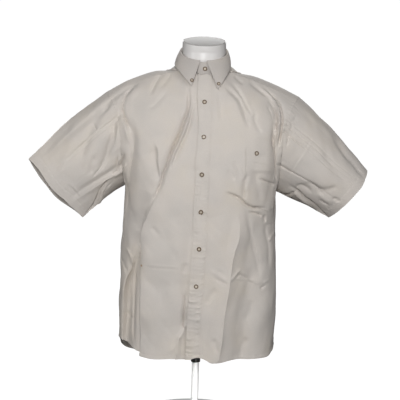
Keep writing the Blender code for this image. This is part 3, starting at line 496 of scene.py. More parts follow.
# Creases of the right sleeve
RIGHT_SLEEVE_CREASES = (
    trough(3, 1.4, (-278, 775), (-270, 764), (-262, 754)),
    trough(3, 2.2, (-244, 685), (-255, 662), (-275, 637)),
    crease(Kind.LIP, 4, 1.0, (-338, 621), (-324, 611), (-311, 597), (-301, 583)),
    trough(15, 3.5, (-318, 790), (-352, 752), (-391, 712), (-420, 670)),
    trough(3.2, 4.5, (-208, 648), (-238, 623), (-256, 597), (-268, 570), (-299, 528)),
    ridge(4, 2.5, (-214, 634), (-236, 612), (-252, 588), (-262, 562), (-288, 532)),
    trough(2.6, 3.4, (-222, 628), (-240, 607), (-252, 584)),
    trough(3, 5, (-192, 705), (-199, 680), (-207, 655)),
    trough(2.6, 4, (-204, 716), (-209, 692), (-214, 668)),
    ridge(3, 4, (-188, 680), (-194, 664), (-203, 645)),
    trough(4, 6, (-197, 652), (-190, 630), (-184, 604)),
    trough(2.6, 4, (-206, 668), (-216, 654), (-228, 648)),
    trough(3, 2.5, (-204, 806), (-210, 797), (-219, 784)),
    trough(2.5, 2, (-204, 792), (-211, 786), (-217, 779)),
    trough(3, 3.2, (-208, 785), (-216, 762), (-220, 738), (-226, 712)),
    trough(8, 2, (-262, 700), (-276, 672), (-282, 640)),
    ridge(12, 2, (-318, 745), (-340, 700), (-352, 660), (-354, 628)),
)

# Creases of the left sleeve
LEFT_SLEEVE_CREASES = (
    crease(Kind.LIP, 3.5, 0.8, (287, 763), (256, 710), (238, 679), (222, 648)),
    trough(12, 3, (306, 737), (331, 692), (358, 656), (386, 620)),
    trough(9, 5, (332, 766), (358, 731), (387, 697), (409, 670), (430, 642)),
    trough(2.6, 3, (188, 685), (197, 683), (209, 680)),
    trough(2.8, 4.5, (221, 634), (245, 617), (267, 599), (291, 581), (311, 562), (339, 540)),
    ridge(3, 2.5, (232, 618), (258, 596), (284, 574), (308, 553)),
    trough(2.6, 3.2, (262, 586), (284, 571), (300, 559), (322, 545)),
    trough(3.4, 3, (201, 601), (225, 603), (249, 618)),
    trough(5, 2.2, (236, 622), (252, 630), (270, 624), (286, 608)),
    trough(5, 2.2, (262, 640), (284, 634), (305, 621), (322, 604)),
    trough(6, 1.4, (300, 624), (318, 622), (338, 626), (352, 632)),
    ridge(7, 1.6, (299, 612), (317, 600), (334, 591), (346, 585)),
    trough(3, 1.6, (306, 596), (320, 587), (334, 581)),
    trough(3, 3, (206, 776), (214, 766), (217, 748), (212, 728)),
    trough(2.6, 2.6, (221, 800), (226, 784), (222, 768)),
    trough(3, 2.2, (206, 800), (231, 797), (239, 810)),
    trough(2.6, 2, (206, 786), (218, 784), (228, 785)),
    trough(2.6, 2, (203, 768), (212, 767), (220, 770)),
    trough(5, 1.8, (340, 600), (352, 596), (362, 588)),
)

# Like creases on the sides that the photograph hides
BACK_CREASES = (
    back_trough(11, 4, (-150, 822), (-160, 762), (-168, 700), (-171, 640)),
    back_trough(12, 4, (148, 825), (162, 765), (171, 700), (174, 632)),
    back_ridge(8, 3, (-128, 815), (-134, 752), (-139, 690)),
    back_trough(9, 3, (-60, 822), (-48, 760), (-41, 700), (-38, 645)),
    back_ridge(8, 2.5, (40, 815), (53, 750), (60, 690), (57, 622)),
    back_trough(7, 3, (108, 820), (120, 770), (124, 712)),
    back_trough(10, 4, (18, 565), (28, 480), (22, 400), (31, 318)),
    back_trough(9, 3.5, (-28, 605), (-37, 520), (-30, 430), (-38, 352)),
    back_crease(Kind.LIP, 6, 0.8, (-150, 421), (-80, 428), (-10, 422), (64, 431)),
    back_ridge(8, 4, (150, 562), (141, 480), (150, 400), (139, 318)),
    back_trough(7, 3, (-141, 545), (-131, 470), (-145, 388)),
    back_trough(9, 3, (-20, 330), (-13, 258), (-22, 170)),
    back_trough(8, 3, (42, 300), (50, 240), (44, 165)),
    back_trough(6, 3, (-168, 340), (-158, 280), (-162, 222)),
    back_ridge(7, 3, (128, 300), (136, 240), (131, 180)),
    back_trough(5, 2.5, (66, 640), (92, 622), (126, 618)),
    back_trough(5, 2.5, (-60, 650), (-92, 634), (-130, 640)),
    back_ridge(8, 2, (-118, 884), (-60, 862), (0, 857), (62, 863), (120, 883)),
    back_trough(9, 4, (-298, 764), (-330, 702), (-354, 648)),
    back_trough(7, 3, (-228, 722), (-262, 662), (-292, 608)),
    back_crease(Kind.LIP, 6, 3, (-342, 642), (-330, 620), (-318, 598)),
    back_trough(5, 3, (-226, 660), (-246, 640), (-276, 632)),
    back_trough(9, 4, (300, 762), (331, 700), (357, 650)),
    back_trough(7, 3, (230, 718), (262, 655), (298, 604)),
    back_crease(Kind.LIP, 5, 3, (276, 700), (262, 668), (254, 640)),
    back_trough(5, 3, (220, 650), (246, 630), (282, 628)),
)

BODY_CREASES = RIGHT_CREASES + LEFT_CREASES + RIGHT_SLEEVE_CREASES + LEFT_SLEEVE_CREASES + BACK_CREASES


@dataclass
class Settling:
    """The soft unevenness of worn cloth: waves that every piece shares, so that seams stay shut."""

    seed: int = 11
    coarse: Triple = (0.080, 0.190, 0.9 * MM)
    fine: Triple = (0.026, 0.060, 0.22 * MM)
    count: int = 14
    crumples: tuple[Triple, ...] = ((0.080, 0.150, 1.5 * MM), (0.034, 0.064, 0.28 * MM))
    mixed: int = 7
    sway: Triple = (0.5, 1.0, 0.4)
    lie: Triple = (1, 1, 0.55)
    middle: Triple = (0, 0.008, 0)
    spread: Triple = (0.3, 1, 0)
    loudest: float = 2.6
    blunt: float = 0.004
    even: float = 0.55
    calm: float = 0.85
    calm_from: float = 0.830
    calm_to: float = 0.880

    def __post_init__(self) -> None:
        """Draws the waves."""
        rng = np.random.default_rng(self.seed)
        self.waves = []
        for shortest, longest, size in (self.coarse, self.fine):
            for _ in range(self.count):
                way = unit(rng.normal(size=3)) * 2 * math.pi / rng.uniform(shortest, longest)
                push = unit(rng.normal(size=3) * self.sway) * size * rng.uniform(0.5, 1)
                self.waves.append((way, push, rng.uniform(0, 2 * math.pi)))
        self.fields = []
        for shortest, longest, size in self.crumples:
            ways = unit(rng.normal(size=(self.mixed, 3)) * self.lie) * 2 * math.pi
            ways = ways / rng.uniform(shortest, longest, size=(self.mixed, 1))
            self.fields.append((ways, rng.uniform(0, 2 * math.pi, size=self.mixed), size))

    def shift(self, points: Grid) -> Grid:
        """How far each point is moved, less on the shoulders, where the form is close."""
        moved = np.zeros(points.shape)
        for way, push, phase in self.waves:
            moved += np.sin(points @ way + phase)[..., None] * push
        height = np.zeros(points.shape[:-1])
        for ways, phases, size in self.fields:
            rough = sum(np.sin(points @ way + phase) for way, phase in zip(ways, phases))
            height += size * (np.sqrt((rough / self.loudest) ** 2 + self.blunt) - self.even)
        moved += unit((points - self.middle) * self.spread) * height[..., None]
        high = smooth_step(points[..., 2], self.calm_from, self.calm_to)
        return moved * (1 - self.calm * high)[..., None]


SETTLING = Settling()


def puckers(along: np.ndarray, away: np.ndarray, size: float, reach: float, seed: int) -> np.ndarray:
    """Small waves that sewing draws into the cloth beside a seam.

    Args:
        along: Distances along the seam, in metres.
        away: Distances from the seam, in metres.
        size: Their height at the seam, in metres.
        reach: How far from the seam they die away, in metres.
        seed: Chooses their pattern.

    Returns:
        Heights, in metres.
    """
    rng = np.random.default_rng(seed)
    wave = np.zeros(np.broadcast(along, away).shape)
    for length in PUCKER_LENGTHS:
        lean = rng.uniform(-0.5, 0.5)
        wave = wave + np.sin(2 * math.pi * (along + lean * away) / length + rng.uniform(0, 6.3))
    slow = 0.6 + 0.4 * np.sin(2 * math.pi * along / PUCKER_SWELL + rng.uniform(0, 6.3))
    return size * 0.45 * wave * slow * np.exp(-away / reach)


def arc_down(grid: Grid) -> np.ndarray:
    """Distance down each column from the first row, in metres."""
    step = np.linalg.norm(np.diff(grid, axis=0), axis=-1)
    return np.vstack([np.zeros((1, grid.shape[1])), np.cumsum(step, axis=0)])


def arc_across(grid: Grid) -> np.ndarray:
    """Distance along each row from the first column, in metres."""
    step = np.linalg.norm(np.diff(grid, axis=1), axis=-1)
    return np.hstack([np.zeros((grid.shape[0], 1)), np.cumsum(step, axis=1)])


def hemmed(grid: Grid, outward: int, width: float, seed: int, closed: bool = False) -> Grid:
    """A sheet with its lower edge turned up and sewn.

    Args:
        grid: The sheet's points.
        outward: 1 or -1, which turns the grid's normals out.
        width: The width of the turned hem, in metres.
        seed: Chooses the pattern of its puckers.
        closed: Whether the sheet closes into a ring.

    Returns:
        The points, raised over the turned cloth, with a groove where it is sewn.
    """
    down = arc_down(grid)
    away = down[-1] - down
    along = arc_across(grid)[-1][None, :] + 0 * away
    height = HEM_STEP * (1 - smooth_step(away, width - 0.5 * MM, width + 2.0 * MM))
    height = height - HEM_GROOVE * np.exp(-(((away - width) / HEM_GROOVE_WIDTH) ** 2))
    height = height + puckers(along, np.abs(away - width), HEM_PUCKERS, HEM_REACH, seed)
    return grown(grid, height, outward, closed)


@dataclass
class Body:
    """The fronts, back and yoke: their sizes in mm and metres, and how they are laid out."""

    rings: Rows = (
        (150, 200, 152, 130, 3.0), (300, 204, 153, 126, 3.0), (450, 200, 154, 121, 3.0),
        (560, 196, 154, 121, 2.9), (612, 195, 153, 122, 2.9), (660, 209, 151, 123, 2.8),
        (700, 225, 147, 123, 2.7), (750, 243, 139, 120, 2.6),
    )
    hem_by_angle: Rows = (
        (-180, 152), (-130, 152), (-112, 166), (-98, 190), (-88, 212), (-72, 220), (-62, 216),
        (-52, 199), (-34, 190), (-20, 193), (-6, 192), (1, 198), (7, 194), (15, 184), (23, 187),
        (34, 192), (45, 189), (58, 191), (72, 200), (84, 203), (95, 196), (130, 163), (180, 155),
    )
    armhole: Rows = (
        (248, 5, 854), (241, -30, 845), (228, -60, 828), (214, -84, 795), (206, -94, 750),
        (203, -90, 706), (200, -70, 662), (197, -35, 627), (195, 8, 612), (199, 50, 630),
        (206, 84, 672), (214, 98, 725), (224, 97, 780), (236, 72, 828), (244, 38, 847),
    )
    right_line: Rows = (
        (150, -139), (200, -140), (340, -143), (430, -143), (511, -142), (542, -131), (593, -111),
        (648, -93), (700, -71), (750, -53),
    )
    left_line: Rows = (
        (150, 54), (198, 59), (296, 68), (392, 78), (460, 89), (497, 97), (560, 100), (600, 109),
        (700, 113), (750, 116),
    )
    placket_middle: Rows = (
        (150, -11), (200, -10), (349, -5), (474, 1), (566, 3), (660, 3), (750, 5), (900, 4),
    )
    flip_line: Rows = ((200, 244, 285), (-48, -43, -24))
    placket_half: float = 16.5 * MM
    wall: float = 1.2 * MM
    hem_width: float = 8 * MM
    seam_gap: float = 0.12 * MM
    front_yoke: int = 1
    underarm: int = 8
    back_yoke: int = 13
    hem_z: float = 0.200
    chest_z: float = 0.750
    underarm_z: float = 0.612
    side_y: float = 0.008
    neck_y: float = -0.006
    neck_half: float = 0.068
    neck_side_z: float = 0.925
    neck_rise: float = 0.019
    neck_yoke_angle: float = math.radians(58)
    front_columns: tuple[int, int, int] = (15, 30, 84)
    upper_rows: int = 66
    underarm_rows: int = 56
    lower_rows: int = 150
    back_columns: int = 130
    back_upper_rows: int = 40
    yoke_columns: int = 35
    yoke_rows: int = 36
    column_bias: float = 1.35
    back_fall: Triple = (0, 0.22, -0.975)

    def point(self, angle: np.ndarray, z: np.ndarray) -> Grid:
        """A point of the unfolded body at an angle from the front's centre and a height."""
        half, front, back, power = np.moveaxis(look_up(self.rings, np.asarray(z) / MM), -1, 0)
        ahead = np.cos(angle) >= 0
        depth = np.where(ahead, front * MM + self.side_y, back * MM - self.side_y)
        reach = (np.abs(np.sin(angle)) / (half * MM)) ** power + (np.abs(np.cos(angle)) / depth) ** power
        radius = reach ** (-1 / power)
        y = self.side_y - radius * np.cos(angle)
        return np.stack([radius * np.sin(angle), y, z + 0 * angle], axis=-1)

    def angle_at_x(self, x: np.ndarray, z: np.ndarray) -> np.ndarray:
        """The angle at which the front half of the body ring has this X."""
        half, front, _, power = np.moveaxis(look_up(self.rings, np.asarray(z) / MM), -1, 0)
        depth = front * MM + self.side_y
        forward = depth * (1 - np.clip(np.abs(x) / (half * MM), 0, 0.999) ** power) ** (1 / power)
        return np.arctan2(x, forward)

    def angle_at_y(self, y: float, z: float, ahead: bool) -> float:
        """The positive angle at which the body ring has this Y, on its front or back half."""
        half, front, back, power = look_up(self.rings, z / MM)
        depth = front * MM + self.side_y if ahead else back * MM - self.side_y
        away = abs(y - self.side_y)
        x = half * MM * (1 - min(away / depth, 0.999) ** power) ** (1 / power)
        return math.atan2(x, self.side_y - y)

    def seam_piece(self, first: int, last: int, share: np.ndarray) -> Grid:
        """Points of the left armhole seam between two of its rows."""
        count = len(self.armhole)
        fine = through(self.armhole, np.linspace(0, 1, 60 * count + 1), closed=True) * MM
        rows = np.array(self.armhole, float) * MM
        ends = [nearest(fine[:-1], rows[k % count]) for k in (first, last)]
        if ends[1] <= ends[0]:
            fine = np.vstack([fine[:-1], fine])
            ends[1] += len(fine) // 2
        piece = fine[ends[0]:ends[1] + 1]
        at = distances(piece)
        return between(np.asarray(share) * at[-1], at, piece)

    def seam_down(self, first: int, last: int, count: int) -> Grid:
        """Points of the left armhole seam between two of its rows, from the top down."""
        seam = self.seam_piece(first, last, np.linspace(0, 1, count))
        return seam[::-1] if seam[0, 2] < seam[-1, 2] else seam

    def seam_at_height(self, z: float, first: int, last: int) -> np.ndarray:
        """The armhole seam's point at a height, on its front or back half."""
        seam = self.seam_down(first, last, 300)[::-1]
        return between(z, seam[:, 2], seam)

    def seam_rows(self, first: int, last: int, rows: int) -> Grid:
        """The armhole seam's points from an end at the yoke to the chest, without the last one."""
        seam = self.seam_down(first, last, 900)
        seam = seam[: int(np.argmin(np.abs(seam[:, 2] - self.chest_z))) + 1]
        picks = np.linspace(0, len(seam) - 1, rows + 1)[:-1]
        return between(picks, np.arange(len(seam)), seam)

    def level_rows(self, bottom: float, first: int, last: int) -> np.ndarray:
        """Shares of the way from the chest to the hem, evenly spread down the armhole and below it."""
        seam = self.seam_down(first, last, 900)
        seam = seam[int(np.argmin(np.abs(seam[:, 2] - self.chest_z))):]
        picks = np.linspace(0, len(seam) - 1, self.underarm_rows + 1)
        above = (self.chest_z - np.interp(picks, np.arange(len(seam)), seam[:, 2])) / (self.chest_z - bottom)
        above[0] = 0
        above[-1] = (self.chest_z - self.underarm_z) / (self.chest_z - bottom)
        edge = 1 - np.array([12, 10.5, 9.2, 8, 6.8, 5.2, 3.4, 1.6, 0]) * MM / (self.chest_z - bottom)
        below = np.linspace(above[-1], edge[0], self.lower_rows + 1)
        return np.concatenate([above, below[1:], edge[1:]])

    def neckline(self, angle: np.ndarray) -> Grid:
        """The neckline seam at an angle round the neck from its front."""
        x = self.neck_half * np.sin(angle)
        y = self.neck_y - self.neck_half * np.cos(angle)
        return np.stack([x, y, self.neck_side_z - self.neck_rise * np.cos(angle)], axis=-1)

    def raised(self, points: Grid) -> Grid:
        """Points lifted where they lie on a shoulder, more on the wearer's right."""
        x, z = points[..., 0], points[..., 2]
        along = smooth_step(np.abs(x), 0.060, 0.125) * (1 - smooth_step(np.abs(x), 0.185, 0.262))
        rise = np.where(x < 0, 9 * MM, 4 * MM) * along * smooth_step(z, 0.79, 0.86)
        return points + np.stack([0 * x, 0 * x, rise], axis=-1)

    def folded(self, grid: Grid, outward: int, fade: Grid, closed: bool = False) -> Grid:
        """The grid with the large folds, where fade holds the seams still."""
        normals = grid_normals(grid, closed) * outward
        return grid + normals * (fold_height(BIG_FOLDS, grid, normals, FOLD_TURN) * fade)[..., None]

    def settled(self, grid: Grid, outward: int) -> Grid:
        """The grid with its creases and its soft unevenness, which neighbours share at their seams."""
        normals = grid_normals(grid) * outward
        height = fold_height(BODY_CREASES, grid, normals, CREASE_TURN)
        from_neck = np.hypot(grid[..., 0], grid[..., 1] - self.neck_y) - self.neck_half
        height = height * smooth_step(from_neck, 0.004, 0.022)
        high = smooth_step(grid[..., 2], 0.830, 0.900)
        height = np.where(high > 0, height * (1 - 0.45 * high), height)
        side = np.where(grid[..., 1] < self.side_y, -1.0, 1.0)
        push = unit(np.stack([0 * high, side * (1 - 0.75 * high), high], axis=-1))
        calm = 1 - smooth_step(self.neck_side_z - grid[..., 2], 0.045, 0.0)
        return grid + push * height[..., None] + SETTLING.shift(grid) * calm[..., None]

    def front_places(self) -> np.ndarray:
        """Column places over the spans between a front's guide lines, closest at the third line."""
        lap, inner, outer = self.front_columns
        return np.concatenate([
            np.linspace(0, 1, lap + 1),
            2 - np.linspace(1, 0, inner + 1)[1:] ** self.column_bias,
            2 + np.linspace(0, 1, outer + 1)[1:] ** self.column_bias,
        ])

    def front_grid(self, side: int) -> Grid:
        """Outer points of a front.

        Args:
            side: -1 for the wearer's right and 1 for the left.

        Returns:
            Rows of points from the neck and shoulder down to the hem.
        """
        if side < 0:
            line, line_neck, past_line = self.right_line, math.radians(26), 4 / 14
        else:
            line, line_neck, past_line = self.left_line, math.radians(46), 2 / 14
        c = self.front_places()
        outer = np.clip(c - 2, 0, 1)

        def columns_at(z: np.ndarray, edge: float) -> np.ndarray:
            """Each column's angle at its height, with the side seam at this angle."""
            middle = look_up(self.placket_middle, z / MM)[..., 0] * MM
            lap_edge = self.angle_at_x(middle - side * self.placket_half, z)
            placket_edge = self.angle_at_x(middle + side * self.placket_half, z)
            fold_line = self.angle_at_x(look_up(line, z / MM)[..., 0] * MM, z)
            span = np.minimum(c.astype(int), 2)
            marks = np.stack([lap_edge, placket_edge, fold_line, side * edge + 0 * z])
            before = np.take_along_axis(marks, span[None], axis=0)[0]
            after = np.take_along_axis(marks, span[None] + 1, axis=0)[0]
            return before + (after - before) * (c - span)

        def at_level(z: np.ndarray) -> Grid:
            """A row of points at these heights, its end on the armhole or the side seam."""
            if z[-1] <= self.underarm_z + 1e-9:
                return self.point(columns_at(z, math.pi / 2), z)
            seam = self.seam_at_height(z[-1], self.front_yoke, self.underarm) * (side, 1, 1)
            points = self.point(columns_at(z, self.angle_at_y(seam[1], z[-1], True)), z)
            return points + (seam - points[-1]) * (outer**3)[:, None]

        level = np.full(len(c), self.hem_z)
        hem = look_up(self.hem_by_angle, np.degrees(columns_at(level, math.pi / 2)))[..., 0] * MM
        shares = self.level_rows(hem[-1], self.front_yoke, self.underarm)
        lower = np.array([at_level(self.chest_z - (self.chest_z - hem) * share) for share in shares])
        below = at_level(np.full(len(c), self.chest_z - 6 * MM))

        neck_place = 2 + past_line**self.column_bias
        inside = c <= neck_place + 1e-6
        middle = look_up(self.placket_middle, 900)[0] * MM
        marks = [math.asin((side * middle + k * self.placket_half) / self.neck_half) for k in (-1, 1)]
        marks += [line_neck, self.neck_yoke_angle]
        neck_angles = np.interp(c[inside], [0, 1, 2, c[inside][-1]], marks)
        neck = self.neckline(neck_angles * side)
        seam_end = np.array(self.armhole[self.front_yoke], float) * MM * (side, 1, 1)
        along = ((c[~inside] - c[inside][-1]) / (3 - c[inside][-1]))[:, None]
        top = np.vstack([neck, self.shoulder_seam(neck[-1], seam_end, along)])
        toward_yoke = np.clip(np.abs(neck_angles) / self.neck_yoke_angle, 0, 1)
        lean = 0.62 + 0.18 * np.concatenate([toward_yoke, 1 - along[:, 0]])
        fall = unit(np.stack([0 * c, -lean, lean - 1.4], axis=-1))
        upper = blend(top, fall, lower[0], unit(below - lower[0]), self.upper_rows)[:-1]
        edge = self.seam_rows(self.front_yoke, self.underarm, self.upper_rows) * (side, 1, 1)
        upper = upper + (edge - upper[:, -1])[:, None, :] * (outer**3)[None, :, None]
        grid = np.vstack([upper, lower])
        top_fade = smooth_step(np.arange(len(grid)), 0, self.upper_rows / 3)[:, None]
        edge_fade = 1 - smooth_step(c, 2.722, 3)[None, :]
        return self.folded(grid, side, top_fade * edge_fade)

    def shoulder_seam(self, start: np.ndarray, end: np.ndarray, along: np.ndarray) -> Grid:
        """Points on the seam between a front and the yoke, which bows forward a little."""
        points = start + (end - start) * along
        points[:, 1] -= 4 * MM * np.sin(np.pi * along[:, 0])
        return points

    def back_grid(self) -> Grid:
        """Outer points of the back, from the wearer's left round to the right."""
        c = np.linspace(-1, 1, self.back_columns + 1)
        weight = np.abs(c) ** 5
        left, right = (weight * (c < 0))[:, None], (weight * (c > 0))[:, None]

        def at_level(z: np.ndarray) -> Grid:
            """A row of points at these heights, its ends on the armholes or the side seams."""
            if z[-1] <= self.underarm_z + 1e-9:
                return self.point(math.pi + math.pi / 2 * c, z)
            seam = self.seam_at_height(z[-1], self.underarm, self.back_yoke)
            edge = self.angle_at_y(seam[1], z[-1], False)
            points = self.point(math.pi + (math.pi - edge) * c, z)
            points = points + (seam - points[0]) * left
            return points + (seam * (-1, 1, 1) - points[-1]) * right

        angles = np.degrees(math.pi + math.pi / 2 * c)
        hem = look_up(self.hem_by_angle, (angles + 180) % 360 - 180)[..., 0] * MM
        shares = self.level_rows(hem[-1], self.underarm, self.back_yoke)
        lower = np.array([at_level(self.chest_z - (self.chest_z - hem) * share) for share in shares])
        below = at_level(np.full(len(c), self.chest_z - 6 * MM))
        fall = np.broadcast_to(self.back_fall, (len(c), 3))
        top = self.back_seam(c)
        upper = blend(top, fall, lower[0], unit(below - lower[0]), self.back_upper_rows)[:-1]
        edge = self.seam_rows(self.underarm, self.back_yoke, self.back_upper_rows)
        upper = upper + (edge - upper[:, 0])[:, None, :] * left[None]
        upper = upper + (edge * (-1, 1, 1) - upper[:, -1])[:, None, :] * right[None]
        grid = np.vstack([upper, lower])
        top_fade = smooth_step(np.arange(len(grid)), 0, self.back_upper_rows * 2 / 3)[:, None]
        return self.folded(grid, 1, top_fade * (1 - smooth_step(np.abs(c), 0.85, 1))[None, :])

    def back_seam(self, c: np.ndarray) -> Grid:
        """The seam between the yoke and the back, from the wearer's left at -1 to the right at 1."""
        end = np.array(self.armhole[self.back_yoke], float) * MM
        y = end[1] + (0.103 - end[1]) * (1 - np.abs(c) ** 2.4)
        z = end[2] + (0.846 - end[2]) * (1 - np.abs(c) ** 2)
        return np.stack([-end[0] * c, y, z], axis=-1)

    def yoke_grid(self) -> Grid:
        """Outer points of the yoke, from its front edges over the shoulders to the back seam."""
        at_neck = 0.46
        inner = np.linspace(0, at_neck, self.yoke_columns + 1)
        half = np.concatenate([inner, np.linspace(at_neck, 1, self.yoke_columns + 1)[1:]])
        c = np.concatenate([-half[::-1], half[1:]])
        size = np.abs(c)
        mirror = np.stack([np.where(c > 0, -1.0, 1.0), 1 + 0 * c, 1 + 0 * c], axis=-1)
        on_neck = np.clip(size / at_neck, 0, 1)
        angle = math.pi - (math.pi - self.neck_yoke_angle) * on_neck
        end = np.array(self.armhole[self.front_yoke], float) * MM
        along = np.clip((size - at_neck) / (1 - at_neck), 0, 1)[:, None]
        seam = self.shoulder_seam(self.neckline(np.array(self.neck_yoke_angle)), end, along)
        beside_neck = (size <= at_neck)[:, None]
        top = np.where(beside_neck, self.neckline(angle), seam) * mirror
        rise = -0.45 + 0.45 * on_neck**3
        neck_start = np.stack([0.75 * np.sin(angle), 0.8 - 0.5 * np.cos(angle), rise], axis=-1)
        from_neck = smooth_step(along[:, 0], 0, 0.5)
        seam_start = np.stack([0.5 * (1 - from_neck), 0.80 + 0 * c, 0.45 * from_neck], axis=-1)
        start = unit(np.where(beside_neck, neck_start, seam_start)) * mirror
        finish = np.broadcast_to(self.back_fall, (len(c), 3))
        grid = blend(top, 1.15 * start, self.back_seam(c), 1.15 * finish, self.yoke_rows)
        shares = np.linspace(1, 0, self.yoke_rows + 1)
        edge = self.seam_piece(self.back_yoke, len(self.armhole) + self.front_yoke, shares)
        weight = np.clip((size - 0.55) / 0.45, 0, 1) ** 2
        grid = grid + (edge - grid[:, 0])[:, None, :] * (weight * (c < 0))[None, :, None]
        return grid + (edge * (-1, 1, 1) - grid[:, -1])[:, None, :] * (weight * (c > 0))[None, :, None]

    def lay_out(self) -> None:
        """Works out the points of all four panels."""
        self.right = self.settled(self.raised(self.front_grid(-1)), -1)
        self.left = self.settled(self.raised(self.front_grid(1)), 1)
        self.back = self.settled(self.raised(self.back_grid()), 1)
        self.yoke = self.settled(self.raised(self.yoke_grid()), 1)

    def open_edge(self, grid: Grid, side: int) -> Grid:
        """A front whose free edge stands off or sinks between the last buttons and the hem."""
        z = grid[..., 2]
        places = self.front_places()[None, :]
        toward_edge = np.clip(1 - places, 0, 1) ** 1.5
        if side > 0:
            low = smooth_step(z, 0.200, 0.260) * (1 - smooth_step(z, 0.365, 0.385))
            lift = toward_edge * (4.5 * low + 0.2) * MM
        else:
            near = smooth_step(-places, -1.35, -0.9)
            lift = -near * (1.9 + 2.0 * (1 - smooth_step(z, 0.380, 0.400))) * MM
            from_flip = grid[..., 0] / MM - np.interp(z / MM, *self.flip_line)
            flip = np.exp(-((from_flip / 4) ** 2))
            lift = lift + 4.5 * MM * flip * (1 - smooth_step(z, 0.270, 0.300))
        return grown(grid, lift, side)

    def side_puckers(self, grid: Grid, outward: int, columns: tuple[int, ...], seed: int) -> Grid:
        """Puckers beside the seams at the grid's first or last column."""
        down = arc_down(grid)
        across = arc_across(grid)
        height = np.zeros(down.shape)
        for column in columns:
            away = np.abs(across - across[:, column:][:, :1])
            height += puckers(down, away, 0.8 * MM, 0.008, seed + column)
        return grown(grid, height, outward)

    def make(self, finish: Shader) -> None:
        """Makes the right front, the left front, the back and the yoke."""
        right = self.open_edge(self.side_puckers(self.right, -1, (-1,), 21), -1)
        right = hemmed(pulled(right, ("top", "last"), self.seam_gap), -1, self.hem_width, 4)
        left = self.open_edge(self.side_puckers(self.left, 1, (-1,), 22), 1)
        left = hemmed(pulled(left, ("top", "last"), self.seam_gap), 1, self.hem_width, 5)
        back = self.side_puckers(self.back, 1, (0, -1), 23)
        back = hemmed(pulled(back, ("top", "first", "last"), self.seam_gap), 1, self.hem_width, 6)
        yoke = pulled(self.yoke, ("top", "bottom", "first", "last"), self.seam_gap)
        self.sewn = {"right": right, "left": left, "back": back, "yoke": yoke}
        for name, grid, outward, flat, area in (
            ("front_right", right, -1, (0.42, 0.75), 0.220),
            ("front_left", left, 1, (0.42, 0.75), 0.216),
            ("back", back, 1, (0.64, 0.71), 0.352),
            ("yoke", yoke, 1, (0.56, 0.19), 0.0765),
        ):
            cloth_piece(name, laid_sheet(f"cloth_{name}", grid, outward, self.wall), finish)


def pulled(grid: Grid, sides: tuple[str, ...], distance: float) -> Grid:
    """The grid with its named borders drawn back along the surface.

    Args:
        grid: The sheet's points.
        sides: Any of top, bottom, first and last.
        distance: How far, in metres.

    Returns:
        The shortened sheet.
    """
    grid = grid.copy()
    rows = {"top": (0, 1), "bottom": (-1, -2)}
    for name in sides:
        if name in rows:
            edge, inner = rows[name]
            grid[edge] += unit(grid[inner] - grid[edge]) * distance
        else:
            edge, inner = (0, 1) if name == "first" else (-1, -2)
            grid[:, edge] += unit(grid[:, inner] - grid[:, edge]) * distance
    return grid


def only(piece: bpy.types.Object) -> None:
    """Selects one object alone and makes it active."""
    bpy.ops.object.select_all(action="DESELECT")
    piece.select_set(True)
    bpy.context.view_layer.objects.active = piece


def apply_all(piece: bpy.types.Object) -> None:
    """Applies the piece's modifiers."""
    only(piece)
    for modifier in list(piece.modifiers):
        bpy.ops.object.modifier_apply(modifier=modifier.name)


def soften(piece: bpy.types.Object, width: float, segments: int, sharpest: float) -> None:
    """Rounds the piece's edges that are sharper than an angle."""
    soft = piece.modifiers.new("soft", "BEVEL")
    soft.width = width
    soft.segments = segments
    soft.limit_method = "ANGLE"
    soft.angle_limit = sharpest
    apply_all(piece)


def settle_origin(piece: bpy.types.Object) -> None:
    """Puts the piece's place into its mesh, so that its object sits at the origin."""
    only(piece)
    bpy.ops.object.transform_apply(location=True, rotation=True, scale=True)


def laid_sheet(name: str, grid: Grid, outward: int, wall: float, closed: bool = False) -> bpy.types.Object:
    """A sheet of cloth laid on rows of points.

    Args:
        name: The piece's name.
        grid: Its outer points, whose rows run down and columns across.
        outward: 1 or -1, which turns the faces out.
        wall: The cloth's thickness, in metres, or 0 for a bare surface.
        closed: Whether the last column meets the first.

    Returns:
        The piece, with a map in metres along the cloth's threads.
    """
    if closed:
        grid = np.concatenate([grid, grid[:, :1]], axis=1)
    rows, columns = grid.shape[:2]
    bpy.ops.object.select_all(action="DESELECT")
    bpy.ops.mesh.primitive_grid_add(x_subdivisions=columns - 1, y_subdivisions=rows - 1, size=1)
    piece = bpy.context.active_object
    piece.name = name
    mesh = piece.data
    mesh.name = name
    mesh.vertices.foreach_set("co", grid[::-1].astype(np.float32).ravel())
    u = np.broadcast_to(arc_across(grid).mean(axis=0)[None, :], (rows, columns))
    v = np.broadcast_to(-arc_down(grid).mean(axis=1)[:, None], (rows, columns))
    places = np.stack([u, v], axis=-1)[::-1].reshape(-1, 2)
    corners = np.zeros(len(mesh.loops), dtype=np.int32)
    mesh.loops.foreach_get("vertex_index", corners)
    mesh.uv_layers.active.data.foreach_set("uv", places[corners].astype(np.float32).ravel())
    mesh.uv_layers.active.name = "threads"
    mesh.update()
    only(piece)
    bpy.ops.object.mode_set(mode="EDIT")
    bpy.ops.mesh.select_all(action="SELECT")
    if closed:
        bpy.ops.mesh.remove_doubles(threshold=1e-5)
    if outward < 0:
        bpy.ops.mesh.flip_normals()
    bpy.ops.object.mode_set(mode="OBJECT")
    if wall:
        thickness = piece.modifiers.new("wall", "SOLIDIFY")
        thickness.thickness = wall
        thickness.offset = -1
        apply_all(piece)
    bpy.ops.object.shade_smooth_by_angle(angle=CLOTH_ANGLE)
    return piece


